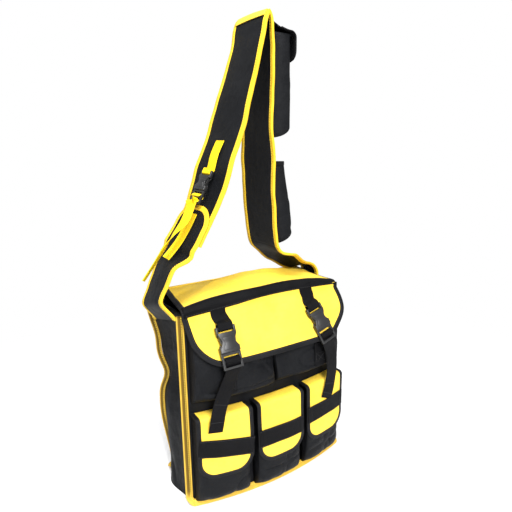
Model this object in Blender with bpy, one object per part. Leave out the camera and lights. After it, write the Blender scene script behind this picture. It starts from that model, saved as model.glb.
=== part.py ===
"""Fishing tackle bag: a soft shoulder bag on its base, with a buckled flap, bellows pockets and a wide strap.

Metres, +Z up, +X to the right seen from the front, and the front faces -Y.
The origin is the centre of the bag's base, on the surface that the bag stands on.
"""

from math import atan2, cos, pi, radians, sin

import bpy
import numpy as np
from mathutils import Matrix, Vector

# Fits that every piece shares
SEAM_GAP = 0.0003
CUT_OVERRUN = 0.004
CORNER_STEPS = 5

# The bag's box: a soft compartment with an open top
BAG_WIDTH = 0.350
BAG_DEPTH = 0.125
BAG_HEIGHT = 0.390
BACK_RISE = 0.0057
PANEL_THICK = 0.0024
FRONT_BOW = 0.024
BACK_BOW = 0.004
GUSSET_PINCH = 0.012
BACK_TOP = BAG_HEIGHT + BACK_RISE
HALF_WIDTH = BAG_WIDTH / 2
HALF_DEPTH = BAG_DEPTH / 2

# Bound seams: a flange of binding tape stands out of each long seam
BINDING_WIDTH = 0.0095
BINDING_THICK = 0.0034
BINDING_CORNER = 0.012

# Lower pockets, three alike, sewn to the front
POCKET_WIDTH = 0.106
POCKET_PITCH = 0.119
POCKET_DEPTH = 0.0235
POCKET_FOOT = 0.008
POCKET_MOUTH = 0.184
POCKET_THICK = 0.0014
POCKET_UNDERCUT = 0.022

# Their flaps, hinged on the seam above each pocket's mouth
POCKET_FLAP_SEAM = 0.190
POCKET_FLAP_TIP = 0.074
POCKET_FLAP_REACH = 0.0279
POCKET_FLAP_BEND = 0.006
POCKET_FLAP_THICK = 0.0020
POCKET_FLAP_CORNER = 0.030
EDGING_WIDTH = 0.0072
EDGING_THICK = 0.0034
BAND_WIDTH = 0.036
BAND_TOP = 0.148
WEBBING_THICK = 0.0014
PATCH_WIDTH = 0.060
PATCH_HEIGHT = 0.024
PATCH_THICK = 0.0016
PATCH_RISE = 0.012

# Upper pockets, two side by side under the flap
UPPER_WIDTH = 0.168
UPPER_PITCH = 0.174
UPPER_DEPTH = 0.0245
UPPER_MOUTH_DEPTH = 0.0095
UPPER_SEAM_RISE = 0.0235
UPPER_CLOSING = 0.046
UPPER_MOUTH_DROP = 0.044
UPPER_SEAM = POCKET_FLAP_SEAM + UPPER_SEAM_RISE
UPPER_MOUTH = BAG_HEIGHT - UPPER_MOUTH_DROP
UPPER_FULL = UPPER_MOUTH - UPPER_CLOSING
UPPER_UNDERCUT = 0.014
UPPER_DENT = 0.016
UPPER_DENT_REACH = 0.040

# The flap: a top that folds over the front edge, and a front that hangs from the fold
FLAP_HALF_WIDTH = 0.163
FLAP_THICK = 0.0020
FLAP_FRONT_ROOM = 0.0050
FLAP_CROWN = 0.0060
FLAP_FOLD_RADIUS = 0.012
FLAP_FOLD_DROP = 0.011
FLAP_FRONT_LENGTH = 0.077
FLAP_FLARE = 0.028
FLAP_BOW = 0.009
FLAP_CORNER = 0.052
FOLD_BAND_WIDTH = 0.035
FOLD_Y = -(HALF_DEPTH + FLAP_FRONT_ROOM)
FLAP_LEVEL = BACK_TOP + SEAM_GAP + FLAP_THICK / 2
FLAP_HINGE_HEIGHT = FLAP_LEVEL - FLAP_FOLD_RADIUS - FLAP_FOLD_DROP
FLAP_TIP = FLAP_HINGE_HEIGHT - FLAP_FRONT_LENGTH

# Shoulder strap: one long half and a short half that laps it at the left
STRAP_WIDTH = 0.112
STRAP_THICK = 0.0030
STRAP_RISE = 0.512
STRAP_TWIST_DEG = 9.0
STRAP_EDGE_WIDTH = 0.0055
STRAP_EDGE_THICK = 0.0048
LAP_RISE = 0.012
SHORT_END_RADIUS = 0.034

# The strap's centre line in the plane y 0, as shares of half the bag's width and of the strap's rise
LEFT_shares = [(-0.993, 0.0), (-1.09, 0.030), (-1.17, 0.078), (-1.12, 0.122), (-0.975, 0.163),
               (-0.820, 0.205), (-0.655, 0.293), (-0.525, 0.386), (-0.410, 0.490), (-0.286, 0.590),
               (-0.190, 0.686), (-0.080, 0.804), (0.012, 0.912), (0.048, 0.966), (0.103, 0.998)]
RIGHT_shares = [(0.160, 0.966), (0.150, 0.882), (0.137, 0.694), (0.133, 0.578), (0.143, 0.382),
                (0.160, 0.267), (0.178, 0.206), (0.206, 0.163), (0.286, 0.132), (0.446, 0.100),
                (0.617, 0.068), (0.810, 0.042), (0.950, 0.030), (0.990, 0.014), (0.993, 0.0)]
ADJUSTER_TAIL_shares = [(-0.93, 0.262), (-1.12, 0.165), (-1.26, 0.095)]
FOOT_TOP_share = 0.166
LONG_START_share = 0.212
SHORT_END_share = 0.330
PATCH_START_share = 0.945

# Webbing and its buckles, in two sizes
FLAP_BUCKLE = {
    "web": 0.030, "side": 0.0045, "side_wall": 0.0045, "sleeve": 0.036, "slot": 0.0062, "bar": 0.0048,
    "base": 0.005, "gap": 0.0082, "rung": 0.0040, "deep": 0.0105, "bar_deep": 0.0046, "wall": 0.0024,
}
STRAP_BUCKLE = {
    "web": 0.025, "side": 0.0040, "side_wall": 0.0041, "sleeve": 0.029, "slot": 0.0060, "bar": 0.0042,
    "base": 0.004, "gap": 0.0078, "rung": 0.0036, "deep": 0.0095, "bar_deep": 0.0044, "wall": 0.0022,
}
PRONG_WIDTH = 0.0048
ARM_WIDTH = 0.0038
ARM_PLAY = 0.0004
ARM_SET_IN = 0.0012
HEAD_PROUD = 0.0020
BUCKLE_EDGE = 0.0009
STRAP_PLACE = 0.107
RIGHT_LEAN_DEG = 15.0
FLAP_STRAP_RUN = 0.019
FEMALE_LENGTH = FLAP_BUCKLE["sleeve"] + FLAP_BUCKLE["slot"] + FLAP_BUCKLE["bar"]
MOUTH_HEIGHT = FLAP_HINGE_HEIGHT - FLAP_STRAP_RUN - FEMALE_LENGTH
TAIL_ROOM = 0.0048

# The flap tails' hanging ends, as shares of the strap place across and of the mouth height up
LEFT_TAIL_shares = [(-1.06, 0.82), (-1.24, 0.68), (-1.38, 0.565)]
RIGHT_TAIL_shares = [(1.20, 0.82), (1.23, 0.68), (1.25, 0.52)]

# Pouches on the right half of the strap
POUCH_WIDTH = 0.088
POUCH_THICK = 0.0014
UPPER_POUCH_RISE = 0.302
UPPER_POUCH_HEIGHT = 0.176
UPPER_POUCH_DEPTH = 0.047
POUCH_FLAP_DROP = 0.040
POUCH_FLAP_ROOM = 0.0030
LOWER_POUCH_RISE = 0.102
LOWER_POUCH_HEIGHT = 0.146
UPPER_POUCH_FOOT = BAG_HEIGHT + UPPER_POUCH_RISE
UPPER_POUCH_MOUTH = UPPER_POUCH_FOOT + UPPER_POUCH_HEIGHT
LOWER_POUCH_FOOT = BAG_HEIGHT + LOWER_POUCH_RISE
LOWER_POUCH_MOUTH = LOWER_POUCH_FOOT + LOWER_POUCH_HEIGHT
LOWER_POUCH_DEPTH = 0.038
LOWER_POUCH_MOUTH_DEPTH = 0.022

# Places along the strap for its adjuster, as rises above the bag's top
ADJUSTER_TOP_RISE = 0.289
ADJUSTER_MOUTH_RISE = 0.1965
ADJUSTER_LIFT = 0.0130
ADJUSTER_LEAN_DEG = 8.0
ADJUSTER_SEWN_RISE = 0.104
ADJUSTER_LOOP_RISE = 0.156
ADJUSTER_TOP = BAG_HEIGHT + ADJUSTER_TOP_RISE
ADJUSTER_MOUTH = BAG_HEIGHT + ADJUSTER_MOUTH_RISE
ADJUSTER_SEWN = BAG_HEIGHT + ADJUSTER_SEWN_RISE
ADJUSTER_LOOP = BAG_HEIGHT + ADJUSTER_LOOP_RISE

# Finishes: name, colour, roughness, metallic
FINISHES = {
    "black_cloth": ((0.028, 0.030, 0.034, 1.0), 0.78, 0.0),
    "yellow_cloth": ((0.92, 0.72, 0.045, 1.0), 0.70, 0.0),
    "yellow_tape": ((0.85, 0.60, 0.035, 1.0), 0.72, 0.0),
    "black_webbing": ((0.022, 0.022, 0.025, 1.0), 0.82, 0.0),
    "yellow_webbing": ((0.93, 0.76, 0.03, 1.0), 0.75, 0.0),
    "buckle_plastic": ((0.035, 0.036, 0.038, 1.0), 0.38, 0.0),
    "hook_tape": ((0.02, 0.02, 0.02, 1.0), 0.92, 0.0),
}


def clear_scene():
    for item in list(bpy.data.objects):
        bpy.data.objects.remove(item, do_unlink=True)


def finish(name):
    """The Principled material of one finish, made once."""
    if name in bpy.data.materials:
        return bpy.data.materials[name]
    colour, roughness, metallic = FINISHES[name]
    made = bpy.data.materials.new(name)
    made.use_nodes = True
    shader = made.node_tree.nodes["Principled BSDF"]
    shader.inputs["Base Color"].default_value = colour
    shader.inputs["Roughness"].default_value = roughness
    shader.inputs["Metallic"].default_value = metallic
    made.diffuse_color = colour
    return made


def add_object(name, points, faces, look):
    mesh = bpy.data.meshes.new(name)
    mesh.from_pydata([tuple(p) for p in points], [], faces)
    mesh.materials.append(finish(look))
    made = bpy.data.objects.new(name, mesh)
    bpy.context.collection.objects.link(made)
    return made


def sheet(name, grid, thickness, look, side=0.0):
    """A cloth piece: a grid of points given a thickness.

    side is -1 to thicken behind the grid's own face, 0 for both ways and 1 for in front.
    """
    rows, columns = grid.shape[:2]
    faces = [
        (i * columns + j, (i + 1) * columns + j, (i + 1) * columns + j + 1, i * columns + j + 1)
        for i in range(rows - 1)
        for j in range(columns - 1)
    ]
    made = add_object(name, grid.reshape(-1, 3), faces, look)
    made.data.shade_smooth()
    thicken = made.modifiers.new("thickness", "SOLIDIFY")
    thicken.thickness = thickness
    thicken.offset = side
    return made


def on_grid(u, v, place):
    """Evaluates place(u, v) -> x, y, z on every pair of the two lists."""
    across, along = np.meshgrid(np.asarray(u, float), np.asarray(v, float), indexing="ij")
    x, y, z = place(across, along)
    return np.stack(np.broadcast_arrays(x, y, z), axis=-1)


def smooth_path(points, steps):
    """A Catmull-Rom curve through the points, with the given steps to each stretch."""
    p = np.asarray(points, float)
    p = np.vstack([2 * p[0] - p[1], p, 2 * p[-1] - p[-2]])
    out = []
    for a, b, c, d in zip(p[:-3], p[1:-2], p[2:-1], p[3:]):
        for t in np.arange(steps) / steps:
            even = 2 * b + (c - a) * t
            bend = (2 * a - 5 * b + 4 * c - d) * t**2 + (3 * b - a - 3 * c + d) * t**3
            out.append((even + bend) / 2)
    out.append(p[-2])
    return np.array(out)


def at_joint(name, place, pieces):
    """An empty on a joint's axis, with the pieces that turn or slide there as its children."""
    joint = bpy.data.objects.new(name, None)
    bpy.context.collection.objects.link(joint)
    joint.location = place
    for piece in pieces:
        world = piece.matrix_basis.copy()
        piece.parent = joint
        piece.matrix_parent_inverse = Matrix.Translation(-Vector(place))
        piece.matrix_basis = world
    return joint


# The bag's own surfaces, which everything sewn to them follows


def bow(x, z):
    """How far the front belly stands forward: most at the middle of the foot, none at sides and top."""
    return FRONT_BOW * (1 - (x / HALF_WIDTH) ** 2) * (1 - (z / BAG_HEIGHT) ** 2)


def front_y(x, z):
    return -(HALF_DEPTH + bow(x, z))


def back_y(x, z):
    return HALF_DEPTH + BACK_BOW * (1 - (x / HALF_WIDTH) ** 2) * np.sin(pi * z / BAG_HEIGHT)


def front_panel():
    x = np.linspace(-HALF_WIDTH, HALF_WIDTH, 29)
    z = np.linspace(PANEL_THICK + SEAM_GAP, BAG_HEIGHT, 16)
    grid = on_grid(x, z, lambda a, b: (a, front_y(a, b), b))
    return sheet("front_panel", grid, PANEL_THICK, "black_cloth", -1)


def back_panel():
    x = np.linspace(HALF_WIDTH, -HALF_WIDTH, 13)
    z = np.linspace(PANEL_THICK + SEAM_GAP, BACK_TOP, 9)
    grid = on_grid(x, z, lambda a, b: (a, back_y(a, b), b))
    return sheet("back_panel", grid, PANEL_THICK, "black_cloth", -1)


def gusset(name, hand):
    """A side gusset between front and back, drawn in at its middle; hand is -1 left, 1 right."""
    reach = HALF_DEPTH - PANEL_THICK - 2 * SEAM_GAP

    def place(a, b):
        pinch = GUSSET_PINCH * np.cos(pi / 2 * a / reach) ** 2 * np.sin(pi * b / BAG_HEIGHT)
        return hand * (HALF_WIDTH - pinch), a, b

    y = np.linspace(-hand * reach, hand * reach, 9)
    z = np.linspace(PANEL_THICK + SEAM_GAP, BAG_HEIGHT, 9)
    return sheet(name, on_grid(y, z, place), PANEL_THICK, "black_cloth", -1)


def bottom_panel():
    """The flat base, cut to the bowed foot of the front panel."""
    def place(a, b):
        front = front_y(b, 0) + a * 0
        return b, front + (HALF_DEPTH - front) * a, 0 * a

    shares = np.linspace(0, 1, 3)
    x = np.linspace(-HALF_WIDTH, HALF_WIDTH, 15)
    return sheet("bottom_panel", on_grid(shares, x, place), PANEL_THICK, "black_cloth", -1)


def corner_path(half, low, high, radius, steps=CORNER_STEPS):
    """Down the left side, round both lower corners and up the right side, as (x, z) points."""
    turn = np.linspace(0, pi / 2, steps + 1)
    left = np.stack([-half + radius * (1 - np.cos(turn)), low + radius * (1 - np.sin(turn))], 1)
    right = np.stack([-left[::-1, 0], left[::-1, 1]], 1)
    side = np.linspace(high, low + radius, 6)[:-1]
    down = np.stack([np.full(5, -half), side], 1)
    up = np.stack([np.full(5, half), side[::-1]], 1)
    foot = np.linspace(-half + radius, half - radius, 11)[1:-1]
    return np.vstack([down, left, np.stack([foot, np.full(9, low)], 1), right, up])


def outward(path):
    """Unit normals of a path that runs down, across and up, pointing away from its inside."""
    run = np.gradient(path, axis=0)
    run /= np.linalg.norm(run, axis=1, keepdims=True)
    return np.stack([run[:, 1], -run[:, 0]], 1)


def seam_binding(name, surface_y, top):
    """Binding tape round three edges of the front or back, standing out of the seam."""
    half, low = HALF_WIDTH + SEAM_GAP, PANEL_THICK + BINDING_THICK / 2
    path = corner_path(half + BINDING_WIDTH, low, top, BINDING_CORNER)
    inner = np.clip(path, [-half, low], [half, top])
    grid = np.zeros((len(path), 2, 3))
    for column, line in enumerate((inner, path)):
        grid[:, column, 0] = line[:, 0]
        grid[:, column, 2] = line[:, 1]
        grid[:, column, 1] = [surface_y(x, z) for x, z in inner]
    at_foot = np.abs(path[:, 0]) < half
    forward = np.sign(surface_y(0, 0))
    grid[path[:, 1] < low + BINDING_CORNER, 0, 1] += forward * 2 * SEAM_GAP
    grid[at_foot, 1, 1] += forward * (SEAM_GAP + BINDING_WIDTH)
    near = (~at_foot) & (path[:, 1] < low + BINDING_CORNER)
    grid[near, 1, 1] += forward * BINDING_WIDTH * (1 - (path[near, 1] - low) / BINDING_CORNER)
    return sheet(name, grid, BINDING_THICK, "yellow_tape")


# Bellows pockets


def bellows_turn():
    """Half a squared-off oval: its share across (-1 to 1) and its share outward (0 to 1)."""
    squareness_share = 0.15
    side_shares = np.array([0.22, 0.45, 0.72, 0.90, 0.975, 1.0])
    across = np.concatenate([-side_shares[::-1], [0], side_shares])
    return across, (1 - np.abs(across) ** (1 / squareness_share)) ** squareness_share


def undercut(rise, depth, height):
    """How far a pocket stands out at a height above its foot: it rounds out from the seam."""
    t = np.clip(rise / height, 0, 1)
    return depth * np.sqrt(np.clip(1 - (1 - t) ** 2, 0, 1))


def pocket_seam(x, z):
    """Where a pocket's inner edge meets the front, clear of the bow across its own thickness."""
    return front_y(x - np.sign(x) * POCKET_THICK, z) - 2 * SEAM_GAP


def front_pocket(name, centre, width, heights, depth_at):
    """A pocket sewn to the front: three walls and a rounded foot, open at the top."""
    least = POCKET_THICK + SEAM_GAP
    share_across, share_out = bellows_turn()

    def place(a, b):
        index = np.rint(a).astype(int)
        x = centre + share_across[index] * (width / 2)
        depth = np.maximum(depth_at(x, b), least)
        return x, pocket_seam(x, b) - (depth - SEAM_GAP) * share_out[index], b

    grid = on_grid(np.arange(len(share_across)), heights, place)
    return sheet(name, grid, POCKET_THICK, "black_cloth", -1)


def lower_pocket(name, centre):
    foot_shares = np.array([0, 0.06, 0.25, 0.6, 1.0])
    wall_shares = np.array([0.4, 0.6, 0.8, 1.0])
    heights = np.append(POCKET_FOOT + POCKET_UNDERCUT * foot_shares, POCKET_MOUTH * wall_shares)

    def depth_at(x, z):
        return undercut(z - POCKET_FOOT, POCKET_DEPTH, POCKET_UNDERCUT)

    return front_pocket(name, centre, POCKET_WIDTH, heights, depth_at)


def upper_depth(x, z):
    """Full depth over the belly, less at the mouth."""
    full = undercut(z - UPPER_SEAM, UPPER_DEPTH, UPPER_UNDERCUT)
    close = np.clip((z - UPPER_FULL) / (UPPER_MOUTH - UPPER_FULL), 0, 1)
    return full - (UPPER_DEPTH - UPPER_MOUTH_DEPTH) * close


def dented_depth(x, z):
    """The right pocket sags in beside the middle of the bag."""
    middle = UPPER_PITCH / 2 - UPPER_WIDTH / 2 + UPPER_DENT_REACH
    near = np.exp(-(((x - middle) / UPPER_DENT_REACH) ** 2))
    rise = np.clip((z - UPPER_SEAM) / UPPER_UNDERCUT, 0, 1)
    closing = 1 - np.clip((z - UPPER_FULL) / (UPPER_MOUTH - UPPER_FULL), 0, 1)
    return upper_depth(x, z) - UPPER_DENT * near * rise * closing


def upper_pocket(name, centre, depth_at):
    foot_shares = np.array([0, 0.06, 0.3, 1.0])
    heights = np.append(UPPER_SEAM + UPPER_UNDERCUT * foot_shares,
                        np.append(np.linspace(UPPER_SEAM + UPPER_UNDERCUT, UPPER_FULL, 4)[1:], UPPER_MOUTH))
    return front_pocket(name, centre, UPPER_WIDTH, heights, depth_at)


# Pocket flaps: yellow cloth, a black edging, a webbing band and a hook patch behind


def pocket_flap_y(x, z):
    """The flap's middle surface: out from the seam, round a bend, then straight down."""
    return front_y(x, z) - POCKET_FLAP_REACH


def flap_profile(x):
    """The (y, z) points of a pocket flap's section, from its tip up and back to its seam."""
    top = POCKET_FLAP_SEAM
    seam_y = front_y(x, top) - SEAM_GAP
    turn = np.linspace(0, pi / 2, 4)
    bend_y = front_y(x, top) - POCKET_FLAP_REACH + POCKET_FLAP_BEND * (1 - np.cos(turn))
    bend_z = top - POCKET_FLAP_BEND * (1 - np.sin(turn))
    return seam_y, bend_y, bend_z


def rounded_half_width(z, tip, half, radius):
    """Half the width of a flap at height z, where its lower corners are rounded."""
    drop = np.clip((tip + radius - z) / radius, 0, 1)
    return half - radius * (1 - np.sqrt(1 - drop**2))


def corner_rows(tip, radius, upper, count):
    """Heights that follow the rounded corner, then rise evenly to the upper edge."""
    turn = np.linspace(pi / 2, 0, CORNER_STEPS + 1)
    corner = tip + radius * (1 - np.sin(turn))
    return np.append(corner, np.linspace(corner[-1], upper, count + 1)[1:])


def pocket_flap(name, centre):
    """One flap with its edging, band and hook patch, as four pieces about one seam."""
    half = POCKET_WIDTH / 2 + SEAM_GAP - EDGING_WIDTH
    low = POCKET_FLAP_TIP
    bend = POCKET_FLAP_SEAM - POCKET_FLAP_BEND
    heights = corner_rows(low, POCKET_FLAP_CORNER, bend, 3)
    shares = np.linspace(-1, 1, 7)
    grid = np.zeros((len(shares), len(heights) + 4, 3))
    for column, z in enumerate(heights):
        x = centre + shares * rounded_half_width(z, low, half, POCKET_FLAP_CORNER)
        grid[:, column] = np.stack([x, pocket_flap_y(x, z), np.full_like(x, z)], 1)
    for row, share in enumerate(shares):
        x = centre + share * half
        seam_y, bend_y, bend_z = flap_profile(x)
        grid[row, len(heights):, 0] = x
        grid[row, len(heights):, 1] = np.append(bend_y[1:], seam_y)
        grid[row, len(heights):, 2] = np.append(bend_z[1:], POCKET_FLAP_SEAM)
    panel = sheet(f"{name}_flap", grid, POCKET_FLAP_THICK, "yellow_cloth")

    path = corner_path(half, low, bend, POCKET_FLAP_CORNER)
    edging = edging_on(f"{name}_flap_edging", path, centre, pocket_flap_y, EDGING_WIDTH)

    lift = POCKET_FLAP_THICK / 2 + SEAM_GAP + WEBBING_THICK / 2
    band_half = half - SEAM_GAP
    band_grid = on_grid(np.linspace(-band_half, band_half, 7), [BAND_TOP - BAND_WIDTH, BAND_TOP],
                        lambda a, b: (centre + a, pocket_flap_y(centre + a, b) - lift, b))
    band = sheet(f"{name}_flap_band", band_grid, WEBBING_THICK, "black_webbing")

    sink = POCKET_FLAP_THICK / 2 + SEAM_GAP + PATCH_THICK / 2
    patch_low = low + PATCH_RISE
    patch_grid = on_grid(np.linspace(-PATCH_WIDTH / 2, PATCH_WIDTH / 2, 5),
                         [patch_low, patch_low + PATCH_HEIGHT],
                         lambda a, b: (centre + a, pocket_flap_y(centre + a, b) + sink, b))
    patch = sheet(f"{name}_hook_patch", patch_grid, PATCH_THICK, "hook_tape")

    seam_y = float(front_y(centre, POCKET_FLAP_SEAM)) - SEAM_GAP
    axis = (centre, seam_y, POCKET_FLAP_SEAM + POCKET_FLAP_THICK / 2)
    at_joint(f"{name}_flap_seam", axis, [panel, edging, band, patch])


def edging_on(name, path, centre, surface, width):
    """An edging strip just outside a flap's outline, lying in the flap's own surface."""
    away = outward(path)
    grid = np.zeros((len(path), 2, 3))
    for column, out in enumerate((SEAM_GAP, width)):
        line = path + away * out
        x, z = centre + line[:, 0], line[:, 1]
        grid[:, column] = np.stack([x, surface(x, z), z], 1)
    return sheet(name, grid, EDGING_THICK, "black_webbing")


# The main flap


def flap_section(lift, start, end, steps):
    """Points (y, z) of the flap's fold, from a height on the front up and back to a depth on top.

    lift moves the line outward, for what lies on the flap.
    """
    turn = np.linspace(0, pi / 2, steps)
    corner_y = FOLD_Y + FLAP_FOLD_RADIUS
    corner_z = FLAP_LEVEL - FLAP_FOLD_RADIUS
    y = corner_y - (FLAP_FOLD_RADIUS + lift) * np.cos(turn)
    z = corner_z + (FLAP_FOLD_RADIUS + lift) * np.sin(turn)
    top = np.linspace(corner_y, end, steps)[1:]
    return (np.concatenate([[FOLD_Y - lift], y, top]),
            np.concatenate([[start], z, np.full(len(top), FLAP_LEVEL + lift)]))


def crown(x, y):
    """The top rises in a low crown between the fold and the rear edge."""
    along = np.clip((y - FOLD_Y - FLAP_FOLD_RADIUS) / (HALF_DEPTH - FOLD_Y - FLAP_FOLD_RADIUS), 0, 1)
    return FLAP_CROWN * np.clip(1 - (x / FLAP_HALF_WIDTH) ** 2, 0, 1) * np.sin(pi * along)


def over_fold(name, half, lift, start, end, thickness, look):
    y, z = flap_section(lift, start, end, 6)
    x = np.linspace(-half, half, 9)
    grid = np.zeros((len(x), len(y), 3))
    grid[..., 0] = x[:, None]
    grid[..., 1] = y
    grid[..., 2] = z + crown(x[:, None], y[None, :])
    return sheet(name, grid, thickness, look)


def flap_top():
    start = FLAP_HINGE_HEIGHT + SEAM_GAP
    cloth = over_fold("flap_top", FLAP_HALF_WIDTH, 0.0, start, HALF_DEPTH, FLAP_THICK, "yellow_cloth")
    lift = FLAP_THICK / 2 + SEAM_GAP + WEBBING_THICK / 2
    on_front = FLAP_LEVEL - FLAP_FOLD_RADIUS - start
    round_fold = FLAP_FOLD_RADIUS * pi / 2
    end = FOLD_Y + FLAP_FOLD_RADIUS + FOLD_BAND_WIDTH - on_front - round_fold
    band = over_fold("fold_band", FLAP_HALF_WIDTH, lift, start, end, WEBBING_THICK, "black_webbing")
    at_joint("flap_rear_seam", (0, HALF_DEPTH, FLAP_LEVEL), [cloth, band])


def flap_front_y(x, z):
    """The hanging front: straight down and forward from the fold, bowed across."""
    drop = (FLAP_HINGE_HEIGHT - z) / (FLAP_HINGE_HEIGHT - FLAP_TIP)
    return FOLD_Y - drop * (FLAP_FLARE + FLAP_BOW * (1 - (x / FLAP_HALF_WIDTH) ** 2))


def flap_slope(x):
    """The tilt of the hanging front at a distance from its middle."""
    far = FLAP_FLARE + FLAP_BOW * (1 - (x / FLAP_HALF_WIDTH) ** 2)
    return atan2(far, FLAP_HINGE_HEIGHT - FLAP_TIP)


def flap_front():
    half = FLAP_HALF_WIDTH - EDGING_WIDTH
    heights = corner_rows(FLAP_TIP, FLAP_CORNER, FLAP_HINGE_HEIGHT - EDGING_THICK / 4, 2)
    shares = np.linspace(-1, 1, 11)
    grid = np.zeros((len(shares), len(heights), 3))
    for column, z in enumerate(heights):
        x = shares * rounded_half_width(z, FLAP_TIP, half, FLAP_CORNER)
        grid[:, column] = np.stack([x, flap_front_y(x, z), np.full_like(x, z)], 1)
    cloth = sheet("flap_front", grid, FLAP_THICK, "yellow_cloth")
    path = corner_path(half, FLAP_TIP, FLAP_HINGE_HEIGHT - EDGING_THICK / 4, FLAP_CORNER)
    edging = edging_on("flap_front_edging", path, 0, flap_front_y, EDGING_WIDTH)
    return [cloth, edging]


# Side-release buckles, modelled in their own frame: +Z to the sewn strap, -Y to the front, mouth at z 0


def box(name, low, high, look):
    x, y, z = zip(low, high)
    points = [(x[i], y[j], z[k]) for i in (0, 1) for j in (0, 1) for k in (0, 1)]
    faces = [(0, 1, 3, 2), (4, 6, 7, 5), (0, 4, 5, 1), (2, 3, 7, 6), (0, 2, 6, 4), (1, 5, 7, 3)]
    return add_object(name, points, faces, look)


def cut_away(piece, low, high):
    """Cuts a box out of a piece; the cutter stays as a hidden wire guide."""
    tool = box(f"{piece.name}_cutter_{len(piece.modifiers)}", low, high, "buckle_plastic")
    tool.hide_render = True
    tool.display_type = "WIRE"
    tool.parent = piece
    cut = piece.modifiers.new("cut", "BOOLEAN")
    cut.object = tool
    cut.operation = "DIFFERENCE"


def soften(piece, width):
    edge = piece.modifiers.new("edge", "BEVEL")
    edge.width = width
    edge.segments = 1
    edge.limit_method = "ANGLE"


def prism(name, outline, low, high, look):
    """A flat piece: an (x, z) outline between two depths."""
    count = len(outline)
    points = [(x, low, z) for x, z in outline] + [(x, high, z) for x, z in outline]
    ring = [(i, count + i, count + (i + 1) % count, (i + 1) % count) for i in range(count)]
    return add_object(name, points, [tuple(range(count)), tuple(range(count, 2 * count))[::-1]] + ring, look)


def cavity_half(size):
    return size["web"] / 2 + size["side"] - size["side_wall"]


def window_heights(size):
    """The side windows that the arm heads catch in, as two heights above the mouth."""
    low_share, high_share = 0.36, 0.88
    return low_share * size["sleeve"], high_share * size["sleeve"]


def release_travel(size):
    return size["sleeve"] - size["wall"]


def ladder_half(size):
    """Half the depth of the sliding half, which fits between the sleeve's walls."""
    return size["deep"] / 2 - size["wall"] - ARM_PLAY


def arm_travel(size):
    """How far an arm has come in when its buckle half is right out."""
    head_run = window_heights(size)[1] - window_heights(size)[0]
    return release_travel(size) * (HEAD_PROUD + ARM_PLAY) / head_run


def female_half(name, size):
    half = size["web"] / 2 + size["side"]
    deep = size["deep"] / 2
    top = size["sleeve"] + size["slot"] + size["bar"]
    piece = box(name, (-half, -deep, 0), (half, deep, top), "buckle_plastic")
    soften(piece, BUCKLE_EDGE)
    inside = cavity_half(size)
    roof = size["sleeve"] - size["wall"]
    cut_away(piece, (-inside, -deep + size["wall"], -CUT_OVERRUN), (inside, deep - size["wall"], roof))
    low, high = window_heights(size)
    for hand in (-1, 1):
        edges = sorted((hand * (inside - ARM_WIDTH), hand * (half + CUT_OVERRUN)))
        cut_away(piece, (edges[0], -deep + size["wall"], low), (edges[1], deep - size["wall"], high))
    web = size["web"] / 2 + SEAM_GAP
    cut_away(piece, (-web, -deep - CUT_OVERRUN, size["sleeve"]),
             (web, deep + CUT_OVERRUN, size["sleeve"] + size["slot"]))
    thin = size["bar_deep"] / 2
    for hand in (-1, 1):
        faces = sorted((hand * thin, hand * (deep + CUT_OVERRUN)))
        cut_away(piece, (-half - CUT_OVERRUN, faces[0], size["sleeve"] + size["wall"]),
                 (half + CUT_OVERRUN, faces[1], top + CUT_OVERRUN))
    return piece


def male_half(name, size):
    """The ladder with its guide prong."""
    half = size["web"] / 2 + size["side"]
    foot = -(size["base"] + 2 * size["gap"] + 2 * size["rung"])
    prong = PRONG_WIDTH / 2
    tip_share = 0.80
    tip = tip_share * size["sleeve"]
    outline = [(-half, foot), (half, foot), (half, -SEAM_GAP), (prong, -SEAM_GAP), (prong, tip - prong),
               (0, tip), (-prong, tip - prong), (-prong, -SEAM_GAP), (-half, -SEAM_GAP)]
    slim = ladder_half(size)
    piece = prism(name, outline, -slim, slim, "buckle_plastic")
    web = size["web"] / 2 + SEAM_GAP
    for rung in (1, 2):
        high = -size["base"] - (rung - 1) * (size["gap"] + size["rung"])
        cut_away(piece, (-web, -slim - CUT_OVERRUN, high - size["gap"]), (web, slim + CUT_OVERRUN, high))
    return piece


def latch_arm(name, size, hand):
    """One sprung arm: a straight root, and a slanted head that catches in the side window."""
    inside = cavity_half(size)
    outer = inside - ARM_SET_IN
    inner = outer - ARM_WIDTH
    low, high = window_heights(size)
    head_low = low + ARM_PLAY
    head_high = high - ARM_WIDTH / 2
    crest = inside - ARM_PLAY + (HEAD_PROUD + ARM_PLAY) * (head_high - low) / (high - low)
    outline = [(inner, 0), (outer, 0), (outer, head_low), (inside - ARM_PLAY, head_low), (crest, head_high),
               (outer, high - ARM_PLAY), (inner, high - ARM_PLAY)]
    points = [(hand * x, z) for x, z in outline]
    if hand < 0:
        points.reverse()
    slim = ladder_half(size)
    return prism(name, points, -slim, slim, "buckle_plastic")


def put(pieces, frame):
    """Places pieces modelled in a buckle's own frame, and their cutters with them."""
    for piece in pieces:
        piece.matrix_basis = frame


def web_strip(name, path, side_axis, width, look):
    """Flat webbing along a path, its width square to the run and as near side_axis as it can be."""
    run = np.gradient(path, axis=0)
    run /= np.linalg.norm(run, axis=1, keepdims=True)
    side = np.asarray(side_axis, float) - (run @ np.asarray(side_axis, float))[:, None] * run
    side /= np.linalg.norm(side, axis=1, keepdims=True)
    grid = np.stack([path - side * width / 2, path + side * width / 2], 1)
    return sheet(name, grid, WEBBING_THICK, look)


def to_world(frame, points):
    return np.array([frame @ Vector(p) for p in points])


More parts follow.
